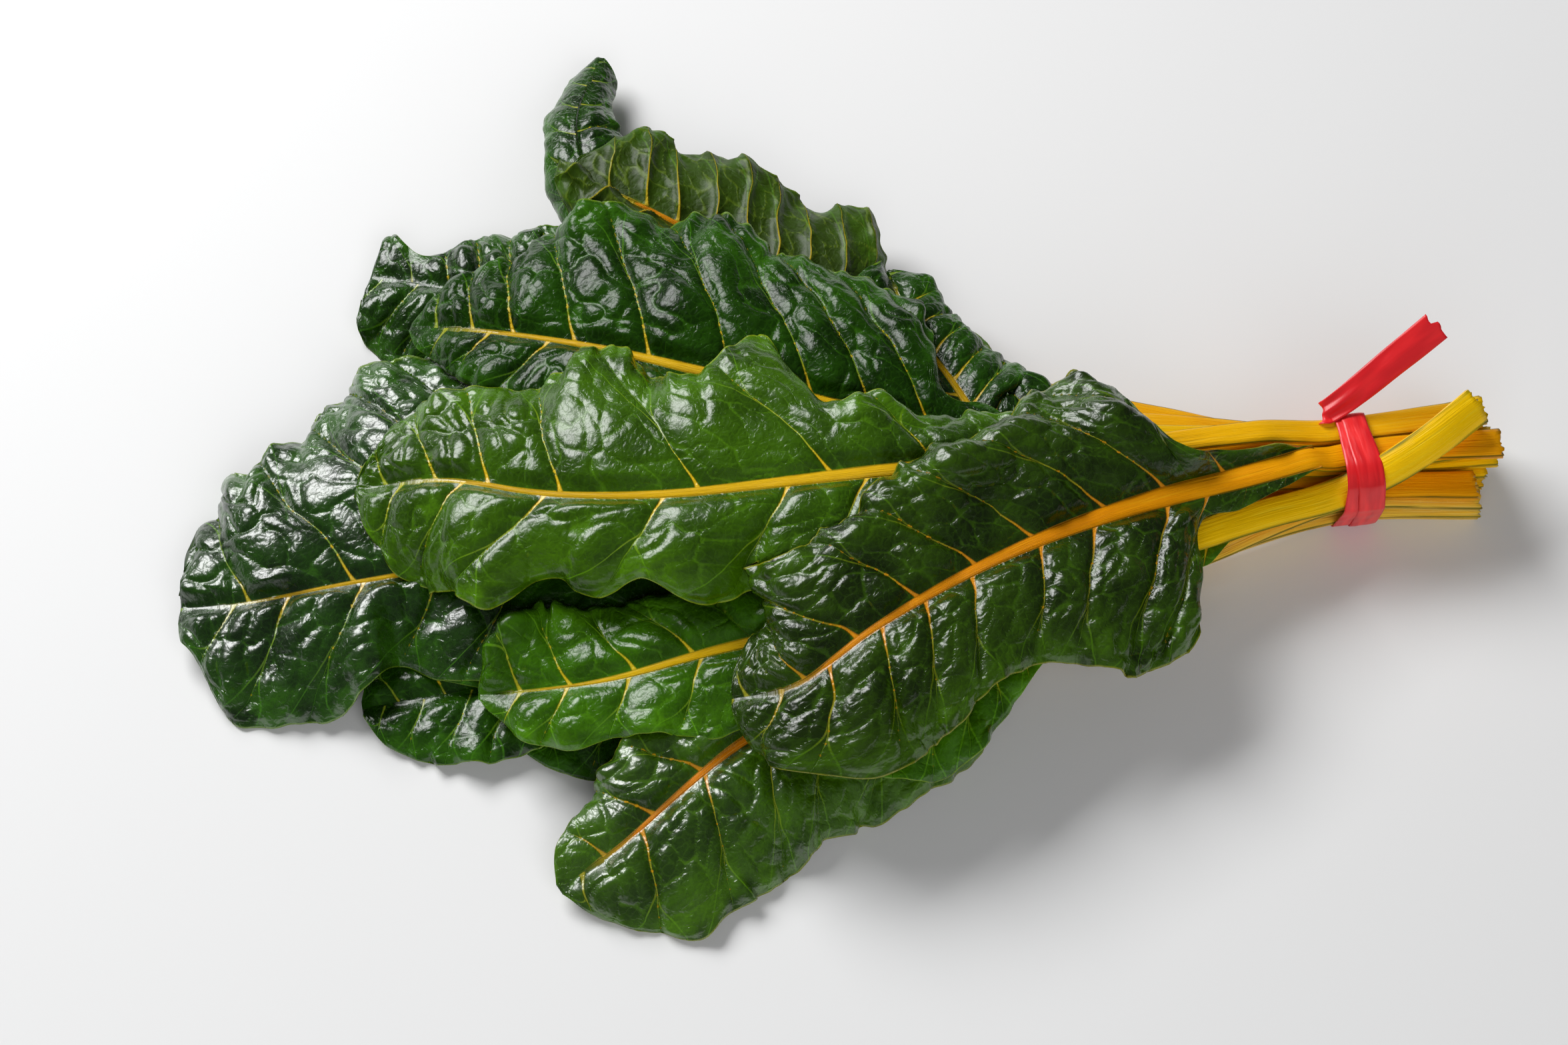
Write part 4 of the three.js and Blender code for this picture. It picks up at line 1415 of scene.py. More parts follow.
    def edge(self, side: Side, along: np.ndarray, widths: np.ndarray) -> np.ndarray:
        """How far out the uneven edge of one half is.

        Args:
            side: Which half.
            along: How far each row is from the base.
            widths: How wide the half of the solid is there.

        Returns:
            The edge of each row, as a share of that width.
        """
        plan, whole = self.plan, along[-1]
        past = np.clip((along - (whole - plan.blunt)) / (plan.blunt + 0.2), 0, 1)
        blunt = np.sqrt(np.clip(1 - past**2, 0.004, 1))
        uneven = rolling(along / 13, along * 0 + side.value * 3, self.seed)
        uneven = uneven + 0.25 * rolling(along / 5, along * 0 + side.value * 3, self.seed + 1)
        reach = (1 + plan.skin.notch * uneven) * blunt * smooth(along, -3, 16)
        for where, middle, spread, more in plan.lobes:
            if where is side:
                reach = reach + more / widths * np.exp(-(((along / whole - middle) / spread) ** 2))
        return reach

    def relief(
        self, side: Side, grid: np.ndarray, along: np.ndarray, share: np.ndarray
    ) -> dict[str, np.ndarray]:
        """Adds the puffed skin and the ruffled edge to one half of the blade.

        Args:
            side: Which half.
            grid: Its points, by row and from the rib outwards.
            along: How far each row is from the base.
            share: How far out each column is, as a share of the width.

        Returns:
            The points, and what is stored at them.
        """
        skin, length = self.plan.skin, along[-1]
        seed = self.seed + 100 * side.value
        steps = np.linalg.norm(np.diff(grid, axis=1), axis=2)
        reach = np.concatenate([np.zeros((len(along), 1)), np.cumsum(steps, axis=1)], axis=1)
        width = reach[:, -1:]
        s = along[:, None] + 0 * reach
        v = share[None, :] + 0 * reach
        phase, gap = self.vein_field(side, s, reach, length)
        inside = np.modf(phase)[0]
        off_vein = np.minimum(inside, 1 - inside) * gap

        def hills(size: float, layer: int) -> np.ndarray:
            """Random hills over the half, as wide as size."""
            return rolling(s / size, reach / size, seed + layer)

        # Blisters, and inside them the finer patches between wrinkles
        bend_x, bend_y, kink_x, kink_y = hills(14, 8), hills(14, 9), hills(4, 12), hills(4, 13)
        usual = float(np.median(np.where(gap > self.bare_gap, gap / self.bare, gap)))
        blisters = cell_edges(
            phase * usual / skin.cell + 0.5 * bend_x + 0.07 * kink_x,
            reach / skin.cell + 0.5 * bend_y + 0.07 * kink_y,
            seed + 3,
        )
        patches = cell_edges(
            s / self.patch + 0.8 * bend_y + 0.25 * kink_x,
            reach / self.patch + 0.8 * bend_x + 0.25 * kink_y,
            seed + 4,
        )

        # The skin between the veins, with broad and narrow bumps
        pillow = 1 - np.exp(-off_vein / (0.1 * gap + 1.1))
        body = smooth(reach, 0, 6) * (1 - 0.3 * smooth(v, 0.6, 1.0)) * smooth(width, 6, 24)
        strength = (0.7 + 0.5 * s / length) * (0.9 + 0.6 * hills(23, 5))
        blister = 1 - np.exp(-blisters * skin.cell * 0.3)
        crumple = 1 - np.exp(-patches * 2.8)
        height = skin.puff * pillow * body * (0.85 + 0.45 * hills(19, 11))
        height = height + skin.blister * blister * (0.4 + 0.6 * pillow) * body * strength
        height = height + skin.wrinkle * crumple * smooth(reach, 0, 5) * strength
        height = height + skin.small_bumps * rolling(s / 7, reach / 6, seed + 14) * body
        height = height + skin.bumps * hills(24, 6) * smooth(reach, 0, 14)

        # The side veins: ridges on an underside, grooves on a face
        if self.plan.turned_over:
            height = 0.8 * skin.puff * body - 0.8 * height
            height = height + skin.ridge * np.exp(-(off_vein**2)) * (1 - 0.6 * v)
        else:
            groove = np.exp(-((off_vein / 0.8) ** 2)) * (1 - v)
            height = height - skin.groove * groove * smooth(reach, 0, 3)
        if self.plan.crease and side is Side.LEFT:
            past = s - self.plan.crease * length
            fold = smooth(-past, -3, 5) * (1 - smooth(-past, 8, 42))
            height = height - skin.fold * fold * smooth(reach, 3, 16)
            height = height + skin.fold_edge * np.exp(-(((past - 6) / 5) ** 2)) * smooth(reach, 4, 14)

        # The edge: long and short waves, and a lip that hangs down
        waves = s / 26 + 0.9 * rolling(s / 30, s * 0, seed + 7)
        ruffle = np.sin(2 * np.pi * waves) + 0.35 * np.sin(2 * np.pi * (s / 9.3 + 0.5 * waves))
        height = height + skin.ruffle * v**4 * ruffle * smooth(width, 5, 25)
        height = height - skin.lip * smooth(v, 0.86, 1.0) ** 2 * smooth(width, 8, 25)
        return {
            "points": grid + facing_up(grid) * height[..., None],
            "phase": phase,
            "gap": gap,
            "reach": reach,
            "share": v,
            "far": s / length,
            "along": s + 300 * side.value + 40 * self.seed,
            "cell": np.minimum(blisters * skin.cell, 0.5 + 9 * patches),
            "ridge": np.exp(-((off_vein / 0.9) ** 2)) * (1 - v),
        }

    def vein_field(
        self, side: Side, s: np.ndarray, reach: np.ndarray, length: float
    ) -> tuple[np.ndarray, np.ndarray]:
        """Lays the side veins of one half of the blade.

        Args:
            side: Which half.
            s: How far each point is along the blade.
            reach: How far it is from the rib.
            length: The length of the blade.

        Returns:
            A number that is whole on each vein, and the distance between veins.
        """
        skin = self.plan.skin
        random = np.random.default_rng(int(self.seed) + 100 * side.value)
        roots = np.array(self.plan.roots[side.value]) * length
        if len(roots) == 0:
            gaps = skin.veins * random.uniform(0.8, 1.2, int(length / skin.veins) + 1)
            roots = np.cumsum(gaps) - (0.3 + 0.5 * side.value) * skin.veins

        # More roots, evenly spaced, before the first and past the last
        first, last = np.diff(roots)[[0, -1]]
        before = roots[0] - first * np.arange(9, 0, -1)
        after = roots[-1] + last * np.arange(1, 4)
        roots = np.concatenate([before, roots, after])

        # Where on the rib the vein that would run through each point begins
        seed = self.seed + 100 * side.value
        wobble = 2.2 * rolling(s / 17, reach / 17, seed + 1) + 0.6 * rolling(s / 5, reach / 5, seed + 2)
        slant = skin.slant * (1.12 - 0.5 * np.clip(s / length, 0, 1))
        source = s - slant * (reach + 0.008 * reach**2) + wobble * reach / (reach + 8)
        phase = np.interp(source, roots, np.arange(len(roots)))
        gap = np.interp(source, (roots[1:] + roots[:-1]) / 2, np.diff(roots))
        if self.plan.roots[side.value]:
            gap = np.where(phase < len(before) - 0.5, self.bare * gap, gap)
        return phase, gap

    def join_halves(self, left: dict[str, np.ndarray], right: dict[str, np.ndarray]) -> None:
        """Joins the halves of the blade by a strip that runs under the rib, or over a sunk one.

        Args:
            left: The points of the left half and what is stored at them.
            right: The same for the right half.
        """
        inner_left, inner_right = left["points"][:, 0], right["points"][:, 0]
        self.middle = (inner_left + inner_right) / 2
        self.to_left = unit(inner_left - inner_right)
        share = np.linspace(0, 1, self.centre_columns + 2)[1:-1]
        strip = inner_left[:, None] * (1 - share[:, None]) + inner_right[:, None] * share[:, None]
        if not self.plan.sunk:
            width = np.linalg.norm(inner_left - inner_right, axis=1)
            depth = 0.16 * (1 - smooth(self.row_along / self.row_along[-1], 0.82, 0.9))
            strip[..., 2] -= (depth * width)[:, None] * np.sin(np.pi * share)[None, :] ** 0.5
        self.numbers = {}
        for key, inner in left.items():
            middle = strip if key == "points" else np.repeat(inner[:, :1], self.centre_columns, axis=1)
            self.numbers[key] = np.concatenate([inner[:, ::-1], middle, right[key]], axis=1)
        first = left["points"].shape[1]
        self.centre = slice(first, first + self.centre_columns)
        if self.plan.sunk:
            self.numbers["phase"][:, self.centre] = 0.5
            self.numbers["reach"] += 8
        self.points = self.numbers.pop("points")
        self.ridge = self.numbers.pop("ridge")

    def settle(self, heap: Heap) -> None:
        """Raises the blade where its puffed skin would cut into what lies below it.

        Args:
            heap: What lies below it.
        """
        under = self.points - self.normals() * BLADE_THICKNESS
        thickness = self.points[..., 2] - under[..., 2]
        short = heap.top(self.points) + self.clearance + thickness - self.points[..., 2]
        short = np.clip(short, 0, self.most_lift)
        lift = short
        for _ in range(14):
            lift = np.maximum(short, 0.985 * blurred(lift))
        strip = slice(self.centre.start - 1, self.centre.stop + 1)
        lift[:, strip] = lift[:, strip].max(axis=1, keepdims=True)
        for _ in range(6):
            lift = blurred(lift)
        lift[:, strip] = lift[:, strip].mean(axis=1, keepdims=True)
        self.points[..., 2] += lift
        self.middle[:, 2] += lift[:, self.centre.start]
        heap.lay(self.points)

    def normals(self) -> np.ndarray:
        """The direction out of the blade's face at each point."""
        normal = unit(np.cross(np.gradient(self.points, axis=0), np.gradient(self.points, axis=1)))
        return normal * np.sign(normal[..., 2:3].mean())

    def build(self, heap: Heap) -> bpy.types.Object:
        """Builds the blade as a thin closed sheet, whose underside has half as many rows and columns.

        Args:
            heap: What lies below it.

        Returns:
            The object.
        """
        self.sheet()
        self.settle(heap)
        model = Model(f"{self.plan.name}_leaf")
        rows, columns = self.points.shape[:2]
        normal = self.normals()
        vein = 0.0 if self.plan.turned_over else self.vein_depth
        under = self.points - normal * (BLADE_THICKNESS + vein * self.ridge)[..., None]
        some_rows = np.union1d(np.arange(0, rows, 2), rows - 1)
        some_columns = np.union1d(np.arange(0, columns, 2), columns - 1)
        some = np.ix_(some_rows, some_columns)
        numbers = {key: values[some] for key, values in self.numbers.items()}
        top = model.add(self.points, quads(rows, columns), 0, **self.numbers)
        low = model.add(under[some], quads(len(some_rows), len(some_columns))[:, ::-1], 1, **numbers)

        # The rim, where every point of the face above goes to the last one below that it passed
        border = np.concatenate([
            np.arange(columns - 1),
            np.arange(rows - 1) * columns + columns - 1,
            (rows - 1) * columns + np.arange(columns - 1, 0, -1),
            np.arange(rows - 1, 0, -1) * columns,
        ])
        row, column = np.divmod(border, columns)
        kept = np.isin(row, some_rows) & np.isin(column, some_columns)
        place = np.searchsorted(some_rows, row) * len(some_columns)
        place = place + np.searchsorted(some_columns, column)
        last = np.maximum.accumulate(np.where(kept, np.arange(len(border)), 0))
        edge = np.stack([top[border], low[place[last]]], axis=1)
        after = np.roll(edge, -1, axis=0)
        wide = np.roll(kept, -1)
        model.join(np.column_stack([edge, after[:, ::-1]])[wide], 0)
        model.join(np.column_stack([edge, after[:, :1]])[~wide], 0)
        finish = LEAF_FINISHES[self.plan.leaf]
        over = self.plan.turned_over
        gloss = (self.plan.shine, self.plan.soft, self.plan.sheen)
        materials = [
            finish.make(f"{model.name}_{'under' if underside else 'face'}", underside, gloss)
            for underside in (over, not over)
        ]
        return model.build(materials)


@dataclass
class StalkLine:
    """The sections of a stalk and its rib, from the cut to the tip.

    Attributes:
        points: The middle of the face.
        lefts: The directions to its left.
        ups: The directions out of the face.
        far: How far each section is from the cut.
        share: How far it is along the blade, as a share, and 0 below the blade.
    """

    points: np.ndarray
    lefts: np.ndarray
    ups: np.ndarray
    far: np.ndarray
    share: np.ndarray


@dataclass
class Stalk(Leaf):
    """The stalk of a leaf, which goes on as the rib of its blade.

    Attributes:
        blade: The blade, where it rests.
        sides: How many points a section has.
        face_points: How many of them are on its face.
        section_step: How far apart the sections below the blade are.
        rib_step: How far apart those along the blade are.
        end: Where the rib ends, as a share of the blade.
        sunk_end: The same for a rib that runs under the skin.
        tip_depth: How far the rib sinks into the blade towards its tip.
        sunk_depth: How far below the skin a sunk rib runs.
        groove: How deep the groove along the stalk's face is, as a share of its width.
        round_groove: The same for the stalk that crosses over the others.
        rib_groove: The same for every rib.
        ragged: How uneven the rim of the cut is.
        rough: How uneven the pith is.
    """

    blade: Blade
    sides: int = 30
    face_points: int = 17
    section_step: float = 2.2
    rib_step: float = 1.7
    end: float = 0.96
    sunk_end: float = 0.12
    tip_depth: float = 1.6
    sunk_depth: float = 2.2
    groove: float = 0.1
    round_groove: float = 0.03
    rib_groove: float = 0.04
    ragged: float = 0.8
    rough: float = 0.35

    def section(self, channel: np.ndarray) -> np.ndarray:
        """The outline of the stalk across its length, for a width of 1.

        Args:
            channel: The depth of the groove along its face, for each section.

        Returns:
            The points, across and up, by section.
        """
        over = np.linspace(0, np.pi, self.face_points)
        below = np.linspace(np.pi, 2 * np.pi, self.sides - self.face_points + 2)[1:-1]
        x = np.cos(np.concatenate([over, below]))
        groove = channel[:, None] * np.clip(1 - x**2 * 1.35, 0, 1) ** 1.5
        face = 1.9 * RIB_PROUD * (1 - np.abs(x) ** 2.3) - groove
        back = -RIB_DEPTH * np.sqrt(np.clip(1 - x**2, 0, 1))
        up = np.where(np.arange(self.sides) < self.face_points, face, back)
        return np.stack([np.broadcast_to(0.5 * x, up.shape), up], axis=-1)

    def line(self) -> StalkLine:
        """Works out the line of the stalk, which rests as its solid does and goes on along the blade."""
        plan, blade = self.plan, self.blade
        tied = (self.band_at - TIED, self.band_at, self.band_at + TIED)
        steps = math.ceil((self.blade_at - tied[2]) / STEM_STEP)
        known = [0.0, tied[0] / 2, tied[0], tied[1]]
        known += [lerp(tied[2], self.blade_at, i / steps) for i in range(steps)]
        known = np.array(known)
        before = self.stations(known)[0]
        lifts = self.rested(before, "stalk")[:, 2] - before[:, 2]
        joint = blade.middle[0, 2] - self.curve.at(np.array([self.blade_at]))[0][0, 2]
        distance = np.linspace(0, self.blade_at, int(self.blade_at / self.section_step))[:-1]
        point, left, up = self.stations(distance)
        point[:, 2] += np.interp(distance, [*known, self.blade_at], [*lifts, joint])

        last = int((self.sunk_end if plan.sunk else self.end) * len(blade.middle))
        rows = np.arange(0, last, max(1, round(self.rib_step / plan.skin.pitch)))
        rib, rib_left, rib_far = blade.middle[rows], blade.to_left[rows], blade.row_along[rows]
        rib_up = unit(np.cross(unit(np.gradient(rib, axis=0)), rib_left))
        share = rib_far / self.blade_length
        points = np.concatenate([point, rib])
        for _ in range(4):
            points[1:-1] = (points[:-2] + 2 * points[1:-1] + points[2:]) / 4
        sink = self.sunk_depth if plan.sunk else self.tip_depth * smooth(share, 0.8, 0.91)
        points[len(distance) :, 2] -= sink
        return StalkLine(
            points=points,
            lefts=np.concatenate([left, rib_left]),
            ups=np.concatenate([up, rib_up]),
            far=np.concatenate([distance, self.blade_at + rib_far]),
            share=np.concatenate([np.zeros(len(distance)), share]),
        )

    def build(self, heap: Heap) -> tuple[bpy.types.Object, np.ndarray]:
        """Builds the stalk, from its cut end to the tip of the rib.

        Args:
            heap: What lies below it.

        Returns:
            The object, and its points where it is tied.
        """
        line = self.line()
        far, sides = line.far, np.arange(self.sides)
        groove = self.round_groove if self.plan.through else self.groove
        near_blade = smooth(far, self.blade_at - 40, self.blade_at + 10)
        outline = self.section(lerp(groove, self.rib_groove, near_blade))
        drift = rolling(far[:, None] / 40, 0 * far[:, None], self.seed)
        outline = outline * (1 + 0.018 * np.sin(sides * 2.4 + 5 * drift))[..., None]
        swell = 1 + 0.035 * rolling(far / 18, far * 0, self.seed + 9)
        size = (self.stem_width(far) * swell)[:, None]
        body = (
            line.points[:, None]
            + line.lefts[:, None] * (outline[..., 0] * size)[..., None]
            + line.ups[:, None] * (outline[..., 1] * size)[..., None]
        )
        rng = np.random.default_rng(int(self.seed) + 3)
        start = unit(line.points[1] - line.points[0])
        body[0] += start * rng.uniform(-self.ragged, self.ragged, self.sides)[:, None]
        around = np.broadcast_to(sides / self.sides, body.shape[:2])
        model = Model(f"{self.plan.name}_stem")
        skin = model.add(
            body,
            quads(len(body), self.sides, closed=True)[:, ::-1],
            0,
            along=(far + 50 * self.seed)[:, None] + 0 * around,
            around=around,
            share=line.share[:, None] + 0 * around,
            shoulder=np.where(sides < self.face_points, np.abs(outline[..., 0]) * 2, 0.0),
        )
        self.cut_end(model, body[0], skin[: self.sides], start, rng)
        model.close(skin[-self.sides :], body[-1].mean(axis=0), turned=True)
        heap.lay(body[:, : self.face_points])
        finish = STEM_FINISHES[self.plan.stem]
        name = f"{self.plan.name}_stem"
        made = model.build([finish.make(f"{name}_skin"), finish.make_cut(f"{name}_cut")])
        return made, body[np.abs(far - self.band_at) <= TIED].reshape(-1, 3)

    def cut_end(
        self,
        model: Model,
        rim: np.ndarray,
        skin: np.ndarray,
        start: np.ndarray,
        rng: np.random.Generator,
    ) -> None:
        """Closes the cut end of the stalk with rough pith.

        Args:
            model: The stalk's model.
            rim: The points of its first section.
            skin: Their places in the model.
            start: The direction into the stalk at its cut.
            rng: Where chance comes from.
        """
        centre = rim.mean(axis=0)
        rings = []
        for scale in (0.9, 0.6, 0.3):
            into = rng.uniform(-self.rough, self.rough, len(rim)) + 0.35 * (1 - scale)
            rings.append(centre + (rim - centre) * scale + start * into[:, None])
        pith = np.array(rings)
        zeros = {key: np.zeros(pith.shape[:2]) for key in model.numbers}
        made = model.add(pith, quads(len(rings), len(rim), closed=True), 1, **zeros)
        made = made.reshape(len(rings), len(rim))
        model.bridge(skin, made[0], 1)
        model.close(made[-1], centre + start * 0.3, 1)


@dataclass(frozen=True)
class RibbonFinish:
    """The red of the tie.

    Attributes:
        bright: The colour where it is smooth.
        deep: The darker red, painted as shade in its creases, and also laid along its edges and on the
            loose end.
        end_at: What the distances along the loose end start from, which tells it from the turns.
    """

    bright: Colour = (0.97, 0.028, 0.03)
    deep: Colour = (0.7, 0.01, 0.016)
    end_at: float = 200.0

    def make(self) -> bpy.types.Material:
        """Builds the material: glossy film over fine threads, with painted shade where it is creased."""
        g = Graph("ribbon_red")
        along, across = g.attribute("along"), g.attribute("across")
        crease = g.noise(g.place(along * 0.05, across * 1.3), 1.0, 2.0)
        thread = g.noise(g.place(along * 0.25, across * 30), 1.0, 2.0)
        edge = abs(across).rising(0.86, 1.0)
        # Painted shade: the red is darker in the creases of the bump; it is also darker along the edges
        # and on the loose end
        colour = g.mix(crease.rising(0.35, 0.7), self.deep, self.bright)
        colour = g.mix(edge * 0.4, colour, self.deep)
        colour = g.mix(along.rising(self.end_at + 4, self.end_at + 12) * 0.6, colour, self.deep)
        height = crease * 0.5 + thread * 0.03
        return g.finish(
            Base_Color=colour,
            Roughness=0.34 + thread * 0.12,
            Normal=g.bump(height),
            Coat_Weight=0.2,
            Coat_Roughness=0.25,
        )


@dataclass(frozen=True)
class Turn:
    """One turn of the tie.

    Attributes:
        outside: How far it lies outside the other turn.
        start: Where its middle lies along the stems.
        skew: How far it slants along them.
    """

    outside: float
    start: float
    skew: float


@dataclass(frozen=True)
class Ribbon:
    """The tie: two turns around the stems, a pinched knot and a loose end.

    Attributes:
        width: The width of the ribbon.
        thickness: Its thickness.
        gap: The least that it keeps from the stems.
        steps: How many rows of points a turn has.
        across: How many points a row has.
        end_steps: How many rows the knot and the loose end have.
        turns: The turns around the stems.
        loose_end: What the loose end passes, the direction across it there, and half of its width.
        finish: The look of it.
    """

    width: float = 10.0
    thickness: float = 0.35
    gap: float = 0.37
    steps: int = 220
    across: int = 13
    end_steps: int = 90
    turns: tuple[Turn, ...] = (Turn(0.0, -2.0, 0.9), Turn(0.5, 2.0, -1.1))
    loose_end: tuple[tuple[Triple, Triple, float], ...] = (
        ((194, 46.0, 33.6), (1, 0.1, 0), 4.8),
        ((190, 45.8, 34.6), (0.9, 0.4, 0.1), 4.6),
        ((187, 45.6, 35.4), (0.45, 0.8, 0.3), 4.4),
        ((187.2, 45.8, 36.4), (-0.15, 0.9, 0.45), 4.3),
        ((189.4, 46.8, 37.6), (-0.5, 0.75, 0.4), 4.4),
        ((194, 49.2, 40.0), (-0.67, 0.64, 0.37), 4.7),
        ((201, 53.2, 44.4), (-0.67, 0.64, 0.37), 5.0),
        ((208.6, 57.6, 49.8), (-0.67, 0.64, 0.37), 5.2),
        ((216.4, 61.8, 55.6), (-0.67, 0.64, 0.37), 5.4),
        ((224, 66, 61.4), (-0.67, 0.64, 0.37), 5.5),
    )
    finish: RibbonFinish = RibbonFinish()

    def loop(self, stems: np.ndarray, angle: np.ndarray) -> np.ndarray:
        """The radius of the tightest loop around the stems.

        Args:
            stems: Points on the stems, aside and up from the centre of the tie.
            angle: Where around the tie.

        Returns:
            The radius at each angle.
        """
        least = 0.05
        directions = np.linspace(0, 2 * np.pi, 361)[:-1]
        reaches = (stems[:, :1] * np.cos(directions) + stems[:, 1:] * np.sin(directions)).max(axis=0)
        facing = np.cos(directions[None, :] - angle[:, None])
        return np.where(facing > least, reaches / np.maximum(facing, least), np.inf).min(axis=1)

    def build(self, stems: np.ndarray) -> bpy.types.Object:
        """Builds the tie.

        Args:
            stems: Points on the stems where they are tied.

        Returns:
            The object.
        """
        heading = math.radians(BAND_HEADING)
        along = np.array([math.cos(heading), math.sin(heading), 0.0])
        aside = np.array([-math.sin(heading), math.cos(heading), 0.0])
        up = np.array([0.0, 0.0, 1.0])
        centre = np.array(BAND) + SHIFT
        offset = stems - centre
        angle = np.linspace(0, 2 * np.pi, self.steps + 1)[:-1]
        radius = self.loop(np.stack([offset @ aside, offset[:, 2]], axis=1), angle)
        for _ in range(3):
            radius = np.maximum(radius, (np.roll(radius, 1) + np.roll(radius, -1)) / 2)
        outward = aside * np.cos(angle)[:, None, None] + up * np.sin(angle)[:, None, None]

        model = Model("ribbon")
        rest = np.linspace(-1, 1, self.across)
        for order, turn in enumerate(self.turns):
            middle = turn.start + turn.skew * np.cos(angle - 0.9)
            half = 0.93 * self.width / 2 * (1 - 0.1 * np.exp(-(((angle - 1.25) / 0.35) ** 2)))
            ripple = rolling(angle[:, None] * 5, rest[None, :] * 1.5 + 0 * angle[:, None], SEED + order)
            bow = 0.35 * (1 - rest**2)[None, :] + 0.22 * ripple
            bow = bow * np.abs(np.cos(angle * 2 + order))[:, None]
            out = radius[:, None] + self.gap + turn.outside + bow
            place = (
                centre
                + aside * (out * np.cos(angle)[:, None])[..., None]
                + up * (out * np.sin(angle)[:, None])[..., None]
                + along * (middle[:, None] + rest[None, :] * half[:, None])[..., None]
            )
            self.strip(model, place, outward + 0 * place, radius.mean() * angle, rest, True)
        self.add_end(model, rest)
        return model.build([self.finish.make()])

    def strip(
        self,
        model: Model,
        place: np.ndarray,
        outward: np.ndarray,
        far: np.ndarray,
        rest: np.ndarray,
        ring: bool,
    ) -> None:
        """Adds a strip of ribbon with its thickness.

        Args:
            model: The ribbon's model.
            place: The points of its outer face, by row.
            outward: The direction out of the face at each point.
            far: How far along the ribbon each row is.
            rest: Where across the ribbon each column is, from -1 to 1.
            ring: Whether the last row joins the first.
        """
        columns = len(rest)
        loop = np.concatenate([place, (place - outward * self.thickness)[:, ::-1]], axis=1)
        shape = loop.shape[:2]
        along = np.broadcast_to(far[:, None], shape)
        across = np.broadcast_to(np.concatenate([rest, rest[::-1]]), shape)
        made = model.add(loop, quads(*shape, closed=True), along=along, across=across).reshape(shape)
        if ring:
            model.bridge(made[-1], made[0])
            return
        for row, turn in ((made[0], 1), (made[-1], -1)):
            upper, lower = row[:columns], row[columns:][::-1]
            caps = np.stack([upper[:-1], lower[:-1], lower[1:], upper[1:]], axis=1)
            model.join(caps[:, ::turn])

    def add_end(self, model: Model, rest: np.ndarray) -> None:
        """Adds the knot and the loose end, which is folded along its middle and torn at its tip.

        Args:
            model: The ribbon's model.
            rest: Where across the ribbon each column is, from -1 to 1.
        """
        places, directions, halves = (np.array(values, float) for values in zip(*self.loose_end))
        at = np.linspace(0, len(places) - 1, self.end_steps)
        line = through_samples(places + SHIFT, at)
        ahead = unit(np.gradient(line, axis=0))
        across = through_samples(directions, at)
        across = unit(across - ahead * (across * ahead).sum(axis=1, keepdims=True))
        out = np.cross(ahead, across)
        half = through_samples(halves[:, None], at)[:, 0]
        far = np.concatenate([[0], np.cumsum(np.linalg.norm(np.diff(line, axis=0), axis=1))])
        straight = smooth(at, 4.0, 6.0)[:, None]
        fold = 0.75 * (1 - np.abs(rest))[None, :] * straight
        pleat = 0.5 * np.cos(rest * 6)[None, :] * (1 - straight)
        wave = 0.35 * rolling(far[:, None] / 9, rest[None, :] * 1.3 + 0 * far[:, None], SEED + 30)
        torn = np.where(rest > 0.25, -1.8, 0.0) + 0.9 * rolling(rest * 2.1, rest * 0, SEED + 31)
        pull = smooth(at, len(places) - 1.8, len(places) - 1)[:, None] * torn[None, :]
        place = (
            line[:, None]
            + across[:, None] * (half[:, None] * rest[None, :])[..., None]
            + out[:, None] * (fold + pleat + wave)[..., None]
            + ahead[:, None] * pull[..., None]
        )
        outward = np.broadcast_to(out[:, None], place.shape)
        self.strip(model, place, outward, far + self.finish.end_at, rest, False)


@dataclass(frozen=True)
class Lamp:
    """One soft light that faces the bunch.

    Attributes:
        name: Its name.
        place: Where it hangs, in metres.
        size: Its width and height.
        power: Its power in watts.
        glossy: Whether it shows in glossy surfaces.
    """

    name: str
    place: Triple
    size: tuple[float, float]
    power: float
    glossy: bool = True


